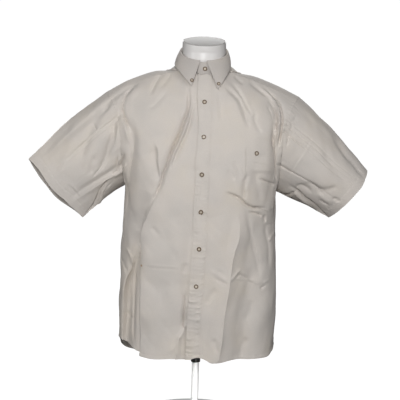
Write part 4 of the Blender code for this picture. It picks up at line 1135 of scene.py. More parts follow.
def cloth_piece(
    node: str,
    piece: bpy.types.Object,
    finish: Shader,
) -> None:
    """Finishes a cloth piece, hides the node that it stands for and logs its faces and wall area.

    Args:
        node: The node it stands for.
        piece: The cloth piece.
        finish: Its material.
    """
    finish.dress(piece)
    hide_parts(node)
    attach(piece, "root")
    wall = sum(face.area for face in piece.data.polygons) / 2
    log.info("%s: %d faces, %.4f square metres of wall", piece.name, len(piece.data.polygons), wall)


def hard_piece(piece: bpy.types.Object, finish: Shader, slot: str, *nodes: str) -> None:
    """Finishes a hard piece and hides the nodes that it stands for."""
    finish.dress(piece)
    if nodes:
        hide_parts(*nodes)
    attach(piece, "root")
    log.info("%s: %d faces", piece.name, len(piece.data.polygons))


@dataclass
class Seen:
    """A sheet's points, searched from the front."""

    grid: Grid

    def __post_init__(self) -> None:
        """Makes the search tree."""
        rows, columns = self.grid.shape[:2]
        corner = np.arange(rows * columns).reshape(rows, columns)
        faces = np.stack([corner[:-1, :-1], corner[1:, :-1], corner[1:, 1:], corner[:-1, 1:]], axis=-1)
        points = [tuple(p) for p in self.grid.reshape(-1, 3)]
        self.tree = BVHTree.FromPolygons(points, faces.reshape(-1, 4).tolist())

    def at(self, x: float, z: float) -> tuple[np.ndarray, np.ndarray]:
        """The sheet's point at an X and a height, and its normal, which faces the front."""
        point, normal, _, _ = self.tree.ray_cast(Vector((x, -1, z)), Vector((0, 1, 0)))
        if normal.y > 0:
            normal = -normal
        return np.array(point), np.array(normal)


@dataclass
class Sleeve:
    """A short sleeve, from the panels' own points round its armhole to an open cuff."""

    side: int
    node: str
    top: Triple
    bottom: Triple
    front: float
    back: float
    front_out: float
    back_out: float
    axis: Triple
    flat: tuple[float, float] = (0.52, 0.25)
    area: float = 0.120
    rows: int = 84
    hem_width: float = 22 * MM
    swell: float = 0.08
    tuck: float = 0.03
    pressed: float = 0.72
    length: float = 0.24
    near_hem: tuple[float, ...] = (29, 27, 25, 23.5, 22, 20.5, 18, 14, 10, 6, 3, 0)

    def cuff_ring(self, share: np.ndarray) -> Grid:
        """The cuff's open edge, from its upper corner down the front and up the back."""
        top, bottom = np.array(self.top) * MM, np.array(self.bottom) * MM
        axis = unit(np.array(self.axis, float))
        long = (top - bottom) / 2
        forward = unit(np.cross(long, axis))
        forward = forward * -np.sign(forward[1])
        angle = 2 * np.pi * np.asarray(share)
        ahead = np.sin(angle) > 0
        depth = np.where(ahead, self.front, self.back) * MM
        bow = depth * np.sign(np.sin(angle)) * np.abs(np.sin(angle)) ** 0.9
        out = np.where(ahead, self.front_out, self.back_out) * MM * np.sin(angle) ** 2
        even = np.abs(1 - 2 * np.mod(share, 1)) * 2 - 1
        down = np.cos(angle) + (even - np.cos(angle)) * self.pressed
        return (top + bottom) / 2 + down[:, None] * long + bow[:, None] * forward + out[:, None] * axis

    def armhole_ring(self, body: Body) -> Grid:
        """The panels' points on the armhole, from the front end of the yoke down and round."""
        front = body.right if self.side < 0 else body.left
        underarm = body.upper_rows + body.underarm_rows
        back_underarm = body.back_upper_rows + body.underarm_rows
        column = 0 if self.side > 0 else -1
        return np.vstack([
            front[:underarm, -1],
            body.back[back_underarm:0:-1, column],
            body.yoke[:0:-1, column],
        ])

    def grid(self, body: Body) -> Grid:
        """Outer points of the sleeve, armhole first."""
        armhole = self.armhole_ring(body)
        at = distances(np.vstack([armhole, armhole[:1]]))
        shoulder = body.raised(np.array(body.armhole[0], float) * MM * (self.side, 1, 1))
        first = at[nearest(armhole, shoulder)] - at[-1]
        under = at[int(np.argmin(armhole[:, 2]))]
        walk = at[:-1]
        share = np.where(
            walk <= under,
            0.5 * (walk - first) / (under - first),
            0.5 + 0.5 * (walk - under) / (at[-1] + first - under),
        )
        edge = 1 - np.array(self.near_hem) * MM / self.length
        t = np.concatenate([np.linspace(0, edge[0], self.rows + 1), edge[1:]])[:, None, None]
        grid = armhole * (1 - t) + self.cuff_ring(share) * t
        middle = grid.mean(axis=1, keepdims=True)
        upper = (0.5 + 0.5 * np.cos(2 * np.pi * share))[None, :, None]
        fuller = np.sin(np.pi * t) * (self.swell * upper - self.tuck * (1 - upper))
        grid = middle + (grid - middle) * (1 + fuller)
        fade = smooth_step(t[..., 0], 0, 0.22) * (1 - 0.5 * smooth_step(t[..., 0], 0.7, 1))
        grid = body.folded(grid, -self.side, fade, closed=True)
        normals = grid_normals(grid, True) * -self.side
        height = fold_height(BODY_CREASES, grid, normals, CREASE_TURN) * smooth_step(t[..., 0], 0.0, 0.10)
        grid = grid + normals * height[..., None]
        return grid + SETTLING.shift(grid) * smooth_step(t, 0, 0.25)

    def make(self, body: Body, finish: Shader) -> None:
        """Makes the sleeve on the body's armhole."""
        grid = pulled(self.grid(body), ("top",), body.seam_gap)
        down = arc_down(grid)
        height = puckers(arc_across(grid)[:1] + 0 * down, down, 0.9 * MM, 0.011, 31 + self.side)
        height = height * smooth_step(down, 0.5 * MM, 4 * MM)
        grid = grown(grid, height, -self.side, True)
        self.sewn = hemmed(grid, -self.side, self.hem_width, 8 + self.side, True)
        piece = laid_sheet(f"cloth_{self.node}", self.sewn, -self.side, body.wall, closed=True)
        cloth_piece(self.node, piece, finish)


@dataclass
class Collar:
    """The collar band and the button-down fall."""

    # Painted shade: the shirt's own cloth colours made darker, standing in for the shade on the collar's
    # sideways and downward facing leaves
    painted_shade_tones: Rows = ((0.552, 0.512, 0.475), (0.512, 0.478, 0.450), (0.560, 0.515, 0.468))
    wall: float = 1.5 * MM
    over: float = math.radians(12)
    front_height: float = 0.030
    back_height: float = 0.040
    top_half: float = 0.0585
    lap: float = 1.2 * MM
    roll: float = 3.0 * MM
    belly: float = 2.0 * MM
    band_columns: int = 176
    band_rows: int = 14
    half_columns: int = 80
    fall_rows: int = 34
    right_edge: Rows = (
        (9, -29, -101, 876), (22, -40, -95, 889), (45, -57, -75, 907), (70, -71, -42, 923),
        (98, -75, 0, 930), (125, -68, 34, 934), (152, -44, 62, 940), (180, 0, 72, 942),
    )
    left_edge: Rows = (
        (7, 37.5, -101, 870), (22, 47, -93, 885), (45, 59, -73, 905), (70, 67.5, -42, 922),
        (98, 69.5, 0, 930), (125, 63, 34, 934), (152, 42, 62, 940), (180, 0, 72, 942),
    )

    def band_top(self, body: Body, angle: np.ndarray) -> Grid:
        """The upper edge of the band's outer face."""
        head = body.neckline(angle)
        ratio = self.top_half / body.neck_half
        height = self.front_height + (self.back_height - self.front_height) * (1 - np.cos(angle)) / 2
        y = body.neck_y + (head[..., 1] - body.neck_y) * ratio
        return np.stack([head[..., 0] * ratio, y, head[..., 2] + height], axis=-1)

    def band_grid(self, body: Body) -> Grid:
        """Outer points of the band, from its left end round the neck to the end that laps under."""
        angle = np.linspace(-self.over, 2 * np.pi + self.over, self.band_columns + 1)
        share = np.linspace(0, 1, self.band_columns + 1)
        outward = np.stack([np.sin(angle), -np.cos(angle), 0 * angle], axis=-1)
        step = self.lap * (1 - 2 * share)[:, None] * outward
        foot = body.neckline(angle) + step + (0, 0, 0.5 * MM)
        head = self.band_top(body, angle) + step
        t = np.linspace(0, 1, self.band_rows + 1)[:, None, None]
        return head * (1 - t) + foot * t

    def fall_grid(self, body: Body) -> Grid:
        """Outer points of the fall, from the band's top over the roll and down to its edge."""
        halves = []
        for edge in (self.left_edge, self.right_edge):
            half = 180 - (180 - edge[0][0]) * np.linspace(1, 0, self.half_columns + 1) ** 0.9
            halves.append((half, look_up(edge, half) * MM))
        angle = np.radians(np.concatenate([halves[0][0], 360 - halves[1][0][-2::-1]]))
        edge = np.vstack([halves[0][1], halves[1][1][-2::-1]])
        outward = np.stack([np.sin(angle), -np.cos(angle), 0 * angle], axis=-1)
        top = self.band_top(body, angle)
        roll = []
        for turn in np.radians(np.linspace(0, 180, 10)):
            ahead = -self.wall + self.roll * (1 - math.cos(turn))
            roll.append(top + outward * ahead + np.array((0, 0, 1.2 * MM + self.roll * math.sin(turn))))
        t = np.linspace(0, 1, self.fall_rows + 1)[1:, None, None]
        down = roll[-1] * (1 - t) + edge * t + outward * self.belly * np.sin(np.pi * t)
        grid = np.concatenate([np.array(roll), down])
        wave = puckers(arc_across(grid), 0 * arc_down(grid), 0.35 * MM, 1.0, 51)
        low = np.concatenate([np.zeros(len(roll)), smooth_step(t[:, 0, 0], 0.2, 1)])[:, None]
        return grown(grid, np.abs(wave * low))

    def make(self, body: Body, finish: Shader) -> None:
        """Makes the band and the fall."""
        self.band, self.fall = self.band_grid(body), self.fall_grid(body)
        for name, grid, flat in (
            ("collar_band", self.band, (0.44, 0.0355)),
            ("collar_fall", self.fall, (0.40, 0.0545)),
        ):
            cloth_piece(name, laid_sheet(f"cloth_{name}", grid, 1, self.wall), finish)


@dataclass
class Placket:
    """The strip on the left front's free edge."""

    wall: float = 1.2 * MM
    gap: float = 0.3 * MM
    stitch_in: float = 5.5 * MM
    gather: float = 1.1 * MM
    gather_reach: float = 0.011
    groove: float = 0.35 * MM
    groove_width: float = 1.3 * MM
    flat: tuple[float, float] = (0.034, 0.742)

    def grid(self, body: Body) -> Grid:
        """Outer points of the strip, with the puckers that its two rows of stitches draw."""
        left = body.sewn["left"]
        columns = slice(0, body.front_columns[0] + 1)
        normals = grid_normals(left)[:, columns]
        strip = left[:, columns] + normals * (self.gap + self.wall)
        strip = pulled(strip, ("top",), 2.5 * MM)
        down, across = arc_down(strip), arc_across(strip)
        width = across[:, -1:]
        from_left = np.abs(across - self.stitch_in)
        from_right = np.abs(width - self.stitch_in - across)
        low = 1 - smooth_step(strip[..., 2], 0.34, 0.54)
        high = 1 - smooth_step(strip[..., 2], 0.66, 0.80)
        waves = puckers(down, from_left, self.gather, self.gather_reach, 61)
        waves = waves + puckers(down, from_right, self.gather, self.gather_reach, 62)
        lowest = 1 - smooth_step(strip[..., 2], 0.33, 0.39)
        waves = (waves * (0.25 + 0.35 * high + 0.75 * low + 0.9 * lowest)).clip(-0.3 * MM, 2.6 * MM)
        groove = sum(np.exp(-((away / self.groove_width) ** 2)) for away in (from_left, from_right))
        return grown(strip, waves - self.groove * groove + self.gap)

    def make(self, body: Body, finish: Shader) -> None:
        """Makes the strip."""
        self.strip = self.grid(body)
        cloth_piece("placket", laid_sheet("cloth_placket", self.strip, 1, self.wall), finish)


@dataclass
class Pocket:
    """The patch pocket on the left chest, its foot in a blunt point."""

    x: float = 0.110
    top: float = 0.730
    width: float = 0.074
    foot_x: float = 0.171
    foot_z: float = 0.567
    foot_rise: float = 0.34
    lift: float = 0.5 * MM
    columns: int = 52
    rows: int = 92
    hem: float = 21 * MM
    hem_step: float = 0.5 * MM
    groove: float = 0.35 * MM
    groove_width: float = 1.6 * MM
    flat: tuple[float, float] = (0.092, 0.172)
    area: float = 0.0155

    def grid(self, body: Body) -> Grid:
        """Outer points of the patch, on the points of the front under it."""
        seen = Seen(body.sewn["left"])
        points = np.zeros((self.rows + 1, self.columns + 1, 3))
        normals = np.zeros_like(points)
        for j, v in enumerate(np.linspace(0, 1, self.rows + 1)):
            for i, u in enumerate(np.linspace(0, 1, self.columns + 1)):
                x = self.x + self.width * u
                foot = self.foot_z + self.foot_rise * abs(x - self.foot_x)
                points[j, i], normals[j, i] = seen.at(x, self.top + (foot - self.top) * v)
        for _ in range(4):
            normals[1:-1] = (normals[:-2] + normals[2:] + 2 * normals[1:-1]) / 4
        normals = unit(normals)
        grid = points + normals * (self.lift + 1.2 * MM)
        down, across = arc_down(grid), arc_across(grid)
        top_hem = self.hem_step * (1 - smooth_step(down, self.hem - MM, self.hem + 2 * MM))
        groove = -self.groove * np.exp(-(((down - self.hem) / self.groove_width) ** 2))
        side = np.minimum(across, across[:, -1:] - across)
        waves = np.abs(puckers(down, side, 0.6 * MM, HEM_REACH, 71))
        return grid + normals * (top_hem + groove + waves)[..., None]

    def make(self, body: Body, finish: Shader) -> None:
        """Makes the patch."""
        self.patch = self.grid(body)
        piece = laid_sheet("cloth_pocket", self.patch, 1, body.wall)
        cloth_piece("pocket", piece, finish)


@dataclass
class Button:
    """A four-hole button with a raised rim."""

    radius: float
    thick: float = 2.2 * MM
    hole: float = 0.75 * MM
    spread: float = 1.5 * MM
    sides: int = 40
    rim: float = 0.22
    slope: float = 0.10
    dish: float = 0.38
    rounding: float = 0.28 * MM

    def model(self, name: str) -> bpy.types.Object:
        """Models the button lying at the origin, face up."""
        bpy.ops.object.select_all(action="DESELECT")
        bpy.ops.mesh.primitive_cylinder_add(
            vertices=self.sides, radius=self.radius, depth=self.thick, location=(0, 0, self.thick / 2)
        )
        piece = bpy.context.active_object
        piece.name = name
        bpy.ops.object.mode_set(mode="EDIT")
        bpy.ops.mesh.select_all(action="DESELECT")
        bpy.ops.object.mode_set(mode="OBJECT")
        for face in piece.data.polygons:
            face.select = face.normal.z > 0.9
        bpy.ops.object.mode_set(mode="EDIT")
        bpy.ops.mesh.inset(thickness=self.rim * self.radius)
        bpy.ops.mesh.inset(thickness=self.slope * self.radius)
        bpy.ops.transform.translate(value=(0, 0, -self.dish * self.thick))
        bpy.ops.object.mode_set(mode="OBJECT")
        soften(piece, self.rounding, 3, math.radians(30))
        for x, y in ((-1, -1), (-1, 1), (1, -1), (1, 1)):
            self.pierce(piece, x * self.spread / 2, y * self.spread / 2)
        self.map_face(piece)
        only(piece)
        bpy.ops.object.shade_smooth_by_angle(angle=HARD_ANGLE)
        return piece

    def pierce(self, piece: bpy.types.Object, x: float, y: float) -> None:
        """Cuts a hole through the button."""
        bpy.ops.object.select_all(action="DESELECT")
        bpy.ops.mesh.primitive_cylinder_add(vertices=12, radius=self.hole / 2, depth=0.02, location=(x, y, 0))
        cutter = bpy.context.active_object
        cut = piece.modifiers.new("hole", "BOOLEAN")
        cut.object = cutter
        cut.solver = "EXACT"
        apply_all(piece)
        bpy.data.objects.remove(cutter, do_unlink=True)

    def map_face(self, piece: bpy.types.Object) -> None:
        """Gives the button a map of its own face, in radii from its middle."""
        mesh = piece.data
        while mesh.uv_layers:
            mesh.uv_layers.remove(mesh.uv_layers[0])
        layer = mesh.uv_layers.new(name="face")
        corners = np.zeros(len(mesh.loops), dtype=np.int32)
        mesh.loops.foreach_get("vertex_index", corners)
        points = np.zeros(len(mesh.vertices) * 3, dtype=np.float32)
        mesh.vertices.foreach_get("co", points)
        flat = points.reshape(-1, 3)[corners, :2] / self.radius
        layer.data.foreach_set("uv", flat.astype(np.float32).ravel())


@dataclass
class Buttons:
    """All ten buttons, and the thread that holds them."""

    large: Button = field(default_factory=lambda: Button(5.8 * MM))
    small: Button = field(default_factory=lambda: Button(4.6 * MM, thick=2.0 * MM, spread=1.3 * MM))
    heights: tuple[float, ...] = (0.837, 0.7515, 0.659, 0.566, 0.4735, 0.379)
    neck: tuple[float, float] = (0.0034, 0.919)
    collar: tuple[tuple[str, float, float], ...] = (
        ("collar_button_right", -0.0285, 0.890),
        ("collar_button_left", 0.0385, 0.883),
    )
    pocket: tuple[float, float] = (0.1375, 0.714)
    gap: float = 0.4 * MM
    slot: str = "button_plastic"

    def places(self, body: Body, collar: Collar, placket: Placket, pocket: Pocket) -> list[tuple]:
        """Each button's node, kind, point and normal."""
        band = Seen(collar.band[:, : collar.band_columns // 4])
        strip, fall, patch = Seen(placket.strip), Seen(collar.fall), Seen(pocket.patch)
        found = [("button_1", self.large, *band.at(*self.neck))]
        for number, z in enumerate(self.heights, 2):
            x = float(look_up(body.placket_middle, z / MM)[0]) * MM
            found.append((f"button_{number}", self.large, *strip.at(x, z)))
        for name, x, z in self.collar:
            found.append((name, self.small, *fall.at(x, z)))
        found.append(("pocket_button", self.large, *patch.at(*self.pocket)))
        return found

    def make(self, places: list[tuple], finish: Shader, thread: Shader) -> None:
        """Places a copy of the button, and a crossed tie of thread, at each place."""
        kinds = (self.large, self.small)
        models = {id(kind): kind.model(f"button_model_{k}") for k, kind in enumerate(kinds)}
        ties = []
        for index, (node, kind, point, normal) in enumerate(places):
            piece = models[id(kind)].copy()
            piece.data = models[id(kind)].data.copy()
            bpy.context.scene.collection.objects.link(piece)
            piece.name = f"plastic_{node}"
            turn = Vector(normal).to_track_quat("Z", "Y").to_matrix().to_4x4()
            spin = Matrix.Rotation(0.4 * math.sin(5 * index), 4, "Z")
            place = Matrix.Translation(Vector(point) + Vector(normal) * self.gap) @ turn @ spin
            piece.matrix_world = place
            settle_origin(piece)
            hard_piece(piece, finish, self.slot, node)
            ties.append((kind, place))
        for model in models.values():
            bpy.data.objects.remove(model, do_unlink=True)
        self.tie(ties, thread)

    def tie(self, ties: list[tuple], thread: Shader) -> None:
        """Crosses thread over each button's holes."""
        grains = Grains("thread_ties")
        for kind, place in ties:
            half = kind.spread * 0.72
            for turn in (math.pi / 4, 3 * math.pi / 4):
                way = place.to_3x3() @ Vector((math.cos(turn), math.sin(turn), 0))
                up = place.to_3x3() @ Vector((0, 0, 1))
                for k in (-0.16, 0.16):
                    aside = way.cross(up) * k * MM
                    centre = place @ Vector((0, 0, kind.thick * 0.70)) + aside
                    grains.add(centre, way, up, half * 2, 0.34 * MM, 0.34 * MM)
        hard_piece(grains.make(), thread, CLOTH_SLOT)


@dataclass
class Grains:
    """Many small threads in one mesh: each is a copy of one stretched ball."""

    name: str
    width: float = 0.42 * MM
    height: float = 0.36 * MM
    sunk: float = 0.10 * MM
    half_step: float = 0.4 * MM

    def __post_init__(self) -> None:
        """Models the ball that every stitch is a copy of."""
        bpy.ops.object.select_all(action="DESELECT")
        bpy.ops.mesh.primitive_ico_sphere_add(subdivisions=1, radius=0.5)
        ball = bpy.context.active_object
        self.points = np.array([v.co for v in ball.data.vertices])
        self.faces = np.array([f.vertices for f in ball.data.polygons])
        bpy.data.objects.remove(ball, do_unlink=True)
        self.placed: list[np.ndarray] = []

    def add(
        self, centre: Vector, way: Vector, up: Vector, length: float, width: float, height: float
    ) -> None:
        """Adds one stitch.

        Args:
            centre: Its middle.
            way: The direction it runs in.
            up: The direction out of the cloth.
            length: Its length, in metres.
            width: Its width, in metres.
            height: Its height, in metres.
        """
        along = unit(np.array(way, float))
        out = unit(np.array(up, float) - along * (np.array(up, float) @ along))
        axes = np.stack([along * length, np.cross(out, along) * width, out * height])
        self.placed.append(np.array(centre, float) + self.points @ axes)

    def row(self, line: Grid, normals: Grid, pitch: float, length: float, zigzag: bool = False) -> None:
        """Adds stitches along a line on the cloth.

        Args:
            line: Points along the line.
            normals: The cloth's outward normals there.
            pitch: The distance from stitch to stitch, in metres.
            length: The length of a stitch, in metres.
            zigzag: Whether the stitches lie across the line, as round a buttonhole.
        """
        at = distances(line)
        where = np.arange(pitch / 2, at[-1], pitch)
        starts, ends = (between(where + k, at, line) for k in (-self.half_step, self.half_step))
        outs = unit(between(where, at, normals))
        for start, end, out in zip(starts, ends, outs):
            way = end - start
            if zigzag:
                way = np.cross(way, out)
            self.add((start + end) / 2 + out * self.sunk, way, out, length, self.width, self.height)

    def make(self) -> bpy.types.Object:
        """Joins all the stitches in one piece."""
        count = len(self.points)
        points = np.concatenate(self.placed)
        faces = np.concatenate([self.faces + k * count for k in range(len(self.placed))])
        mesh = bpy.data.meshes.new(self.name)
        mesh.from_pydata(points.tolist(), [], faces.tolist())
        mesh.shade_smooth()
        piece = bpy.data.objects.new(self.name, mesh)
        bpy.context.scene.collection.objects.link(piece)
        return piece


def line_at(
    grid: Grid, outward: int, row: float | None = None, column: float | None = None
) -> tuple[Grid, Grid]:
    """A line across or down a sheet, and the outward normals along it.

    Args:
        grid: The sheet's points.
        outward: 1 or -1, which turns the normals out.
        row: The row of a line across, which may lie between two.
        column: The column of a line down, which may lie between two.

    Returns:
        The points and the normals.
    """
    normals = grid_normals(grid) * outward
    if row is None:
        grid, normals, row = grid.swapaxes(0, 1), normals.swapaxes(0, 1), column
    low = min(int(row), len(grid) - 2)
    share = row - low
    line = grid[low] * (1 - share) + grid[low + 1] * share
    return line, unit(normals[low] * (1 - share) + normals[low + 1] * share)


def row_at(grid: Grid, distance: float) -> float:
    """The row that lies a distance above a sheet's lower edge, in metres, at its middle."""
    down = arc_down(grid)[:, grid.shape[1] // 2]
    return float(np.interp(down[-1] - distance, down, np.arange(len(down))))


def column_at(grid: Grid, distance: float) -> float:
    """The column that lies a distance in from a sheet's first one, or from its last where negative."""
    across = arc_across(grid)[grid.shape[0] // 2]
    where = distance if distance > 0 else across[-1] + distance
    return float(np.interp(where, across, np.arange(len(across))))


@dataclass
class Stitching:
    """Every row of stitches that shows."""

    pitch: float = 3.1 * MM
    length: float = 2.5 * MM

    def body_rows(self, grains: Grains, body: Body) -> None:
        """Hems, armholes and the yoke's seams."""
        sewn = body.sewn
        for name, outward in (("right", -1), ("left", 1), ("back", 1)):
            hem_row = row_at(sewn[name], body.hem_width)
            grains.row(*line_at(sewn[name], outward, row=hem_row), self.pitch, self.length)
        rows = body.upper_rows + body.underarm_rows
        for name, outward in (("right", -1), ("left", 1)):
            line, out = line_at(sewn[name], outward, column=column_at(sewn[name], -8 * MM))
            grains.row(line[4:rows], out[4:rows], self.pitch, self.length)
        last = body.yoke_rows - 0.6
        grains.row(*line_at(sewn["yoke"], 1, row=last), self.pitch, self.length)
        neck = body.yoke_columns
        for part in (slice(1, neck), slice(-neck, -1)):
            line, out = line_at(sewn["yoke"], 1, row=0.7)
            grains.row(line[part], out[part], self.pitch, self.length)

    def small_rows(self, grains: Grains, collar: Collar, placket: Placket, pocket: Pocket) -> None:
        """The placket, the pocket, the collar and its band."""
        for distance in (placket.stitch_in, -placket.stitch_in):
            line, out = line_at(placket.strip, 1, column=column_at(placket.strip, distance))
            grains.row(line[2:-2], out[2:-2], self.pitch, self.length)
        patch = pocket.patch
        for distance in (2.2 * MM, -2.2 * MM):
            grains.row(*line_at(patch, 1, column=column_at(patch, distance)), self.pitch, self.length)
        grains.row(*line_at(patch, 1, row=row_at(patch, 2.2 * MM)), self.pitch, self.length)
        hem_row = float(np.interp(pocket.hem, arc_down(patch)[:, 0], np.arange(len(patch))))
        grains.row(*line_at(patch, 1, row=hem_row), self.pitch, self.length)
        fall = collar.fall
        grains.row(*line_at(fall, 1, row=row_at(fall, 5.5 * MM)), self.pitch, self.length)
        for distance in (5 * MM, -5 * MM):
            line, out = line_at(fall, 1, column=column_at(fall, distance))
            grains.row(line[12:-4], out[12:-4], self.pitch, self.length)
        grains.row(*line_at(collar.band, 1, row=row_at(collar.band, 2 * MM)), self.pitch, self.length)

    def buttonholes(self, grains: Grains, buttons: Buttons, body: Body, placket: Placket) -> None:
        """Dense thread on both sides of each upright buttonhole."""
        seen = Seen(placket.strip)
        for z in buttons.heights:
            x = float(look_up(body.placket_middle, z / MM)[0]) * MM
            for aside in (-0.9 * MM, 0.9 * MM):
                found = [seen.at(x + aside, z + k * MM) for k in np.linspace(-8, 8, 9)]
                line = np.array([point for point, _ in found])
                out = np.array([normal for _, normal in found])
                grains.row(line, out, 0.75 * MM, 1.3 * MM, zigzag=True)

    def make(self, shirt: Shirt, thread: Shader) -> None:
        """Sews every row."""
        grains = Grains("thread_stitches")
        self.body_rows(grains, shirt.body)
        for sleeve in shirt.sleeves:
            closed = np.concatenate([sleeve.sewn, sleeve.sewn[:, :1]], axis=1)
            row = row_at(closed, sleeve.hem_width)
            grains.row(*line_at(closed, -sleeve.side, row=row), self.pitch, self.length)
        self.small_rows(grains, shirt.collar, shirt.placket, shirt.pocket)
        self.buttonholes(grains, shirt.buttons, shirt.body, shirt.placket)
        hard_piece(grains.make(), thread, CLOTH_SLOT)


class Shader:
    """A material's nodes, added one after another."""

    def __init__(self, name: str, rough: float, colour: Colour, values: dict | None = None) -> None:
        """Starts a material with one even roughness and colour, and values of its other sockets."""
        self.material = bpy.data.materials.new(name)
        self.material.use_nodes = True
        self.tree = self.material.node_tree
        self.surface = self.tree.nodes["Principled BSDF"]
        for key, value in {"Roughness": rough, "Base Color": (*colour, 1), **(values or {})}.items():
            self.surface.inputs[key].default_value = value

    def add(self, kind: str, values: dict | None = None, **settings: object) -> bpy.types.Node:
        """Adds a node.

        Args:
            kind: The node's type, without its ShaderNode prefix.
            values: Values of its sockets by name.
            settings: Values of its own properties.

        Returns:
            The node.
        """
        node = self.tree.nodes.new(f"ShaderNode{kind}")
        for key, value in settings.items():
            setattr(node, key, value)
        for key, value in (values or {}).items():
            node.inputs[key].default_value = value
        return node

    def link(self, start: bpy.types.NodeSocket, end: bpy.types.NodeSocket) -> None:
        """Links two sockets."""
        self.tree.links.new(start, end)

    def noise(self, place: bpy.types.NodeSocket, **values: float) -> bpy.types.NodeSocket:
        """A noise over a place, its sockets' names in small letters."""
        node = self.add("TexNoise", {key.capitalize(): value for key, value in values.items()})
        self.link(place, node.inputs["Vector"])
        return node.outputs["Fac"]

    def bump(self, height: bpy.types.NodeSocket, strength: float, distance: float) -> bpy.types.Node:
        """A bump of this height, on the surface."""
        node = self.add("Bump", {"Strength": strength, "Distance": distance})
        self.link(height, node.inputs["Height"])
        return node

    def paint(self, colour: bpy.types.NodeSocket) -> None:
        """Gives the surface this colour."""
        self.link(colour, self.surface.inputs["Base Color"])

    def ramp(self, fac: bpy.types.NodeSocket, stops: list[tuple[float, Colour]]) -> bpy.types.NodeSocket:
        """A colour ramp over a value."""
        node = self.add("ValToRGB")
        self.link(fac, node.inputs["Fac"])
        bar = node.color_ramp.elements
        while len(bar) < len(stops):
            bar.new(0.5)
        for element, (place, colour) in zip(bar, stops):
            element.position = place
            element.color = (*colour, 1)
        return node.outputs["Color"]

    def dress(self, piece: bpy.types.Object) -> None:
        """Gives the piece this material alone."""
        piece.data.materials.clear()
        piece.data.materials.append(self.material)


@dataclass(frozen=True)
class Cloth:
    """Washed cotton twill, stone coloured, faintly mottled."""

    name: str = "cotton_twill"
    pale: Colour = (0.640, 0.592, 0.545)
    grey: Colour = (0.606, 0.566, 0.527)
    warm: Colour = (0.652, 0.597, 0.534)
    rough: float = 0.88
    twill: float = 0.62 * MM
    stain: Colour = (0.42, 0.27, 0.17)
    spot: Triple = (-0.1415, -0.128, 0.424)

    def shader(self) -> Shader:
        """Makes the cloth's material."""
        sheen = {"Sheen Weight": 0.12, "Sheen Roughness": 0.5, "Specular IOR Level": 0.25}
        made = Shader(self.name, self.rough, self.pale, sheen)
        place = made.add("TexCoord").outputs["Object"]
        patches = made.noise(place, scale=9.0, detail=3.0, roughness=0.5)
        tone = made.ramp(patches, [(0.36, self.grey), (0.52, self.pale), (0.66, self.warm)])
        flecks = made.noise(place, scale=900.0, detail=2.0, roughness=0.6)
        faint = made.ramp(flecks, [(0.25, (0.93,) * 3), (0.75, (1.05,) * 3)])
        both = made.add("Mix", data_type="RGBA", blend_type="MULTIPLY")
        both.inputs["Factor"].default_value = 1.0
        made.link(tone, both.inputs["A"])
        made.link(faint, both.inputs["B"])
        away = made.add("VectorMath", operation="DISTANCE")
        away.inputs[1].default_value = self.spot
        made.link(place, away.inputs[0])
        near = made.add("MapRange", {"From Min": 0.0042, "From Max": 0.0018})
        made.link(away.outputs["Value"], near.inputs["Value"])
        stained = made.add("Mix", data_type="RGBA")
        made.link(near.outputs["Result"], stained.inputs["Factor"])
        made.link(both.outputs["Result"], stained.inputs["A"])
        stained.inputs["B"].default_value = (*self.stain, 1)
        made.paint(stained.outputs["Result"])
        self.weave(made)
        return made

    def weave(self, made: Shader) -> None:
        """Adds the twill's slanting lines and the threads that cross them."""
        threads = made.add("UVMap", uv_map="threads")
        slant = made.add("Mapping")
        slant.inputs["Rotation"].default_value = (0, 0, math.radians(63))
        made.link(threads.outputs["UV"], slant.inputs["Vector"])
        rows = made.add("TexWave", {"Scale": 0.314 / self.twill, "Distortion": 0.6, "Detail": 1.0})
        rows.wave_profile = "SIN"
        made.link(slant.outputs["Vector"], rows.inputs["Vector"])
        slubs = made.noise(threads.outputs["UV"], scale=1500.0, detail=1.0)
        relief = made.add("Mix", data_type="FLOAT")
        relief.inputs["Factor"].default_value = 0.35
        made.link(rows.outputs["Fac"], relief.inputs["A"])
        made.link(slubs, relief.inputs["B"])
        bump = made.bump(relief.outputs["Result"], 0.35, 0.12 * MM)
        place = made.add("TexCoord")
        stretch = made.add("Mapping")
        stretch.inputs["Scale"].default_value = (1, 1, 0.5)
        made.link(place.outputs["Object"], stretch.inputs["Vector"])
        rub = made.noise(stretch.outputs["Vector"], scale=34.0, detail=4.0, roughness=0.55, distortion=0.4)
        wrinkle = made.bump(rub, 0.3, 1.2 * MM)
        made.link(wrinkle.outputs["Normal"], bump.inputs["Normal"])
        made.link(bump.outputs["Normal"], made.surface.inputs["Normal"])


@dataclass(frozen=True)
class Thread:
    """Cotton sewing thread, a shade lighter than the cloth."""

    colour: Colour = (0.66, 0.63, 0.58)
    dark: Colour = (0.52, 0.49, 0.45)

    def shader(self) -> Shader:
        """Makes the thread's material."""
        made = Shader("sewing_thread", 0.7, self.colour)
        twist = made.noise(made.add("TexCoord").outputs["Object"], scale=1200.0, detail=1.0)
        made.paint(made.ramp(twist, [(0.35, self.dark), (0.65, self.colour)]))
        return made


@dataclass(frozen=True)
class Horn:
    """Brown plastic that looks like horn, pale in the middle."""

    middle: Colour = (0.60, 0.53, 0.43)
    brown: Colour = (0.130, 0.088, 0.055)
    edge: Colour = (0.200, 0.145, 0.095)

    def shader(self) -> Shader:
        """Makes the button's material."""
        made = Shader("horn_plastic", 0.45, self.brown, {"Coat Weight": 0.12})
        face = made.add("UVMap", uv_map="face").outputs["UV"]
        swirl = made.noise(face, scale=2.2, detail=3.0, distortion=1.2)
        length = made.add("VectorMath", operation="LENGTH")
        made.link(face, length.inputs[0])
        uneven = made.add("Math", operation="MULTIPLY_ADD")
        uneven.inputs[1].default_value = 0.22
        made.link(swirl, uneven.inputs[0])
        made.link(length.outputs["Value"], uneven.inputs[2])
        tone = made.ramp(
            uneven.outputs["Value"],
            [(0.50, self.middle), (0.72, self.brown), (0.98, self.brown), (1.0, self.edge)],
        )
        made.paint(tone)
        return made


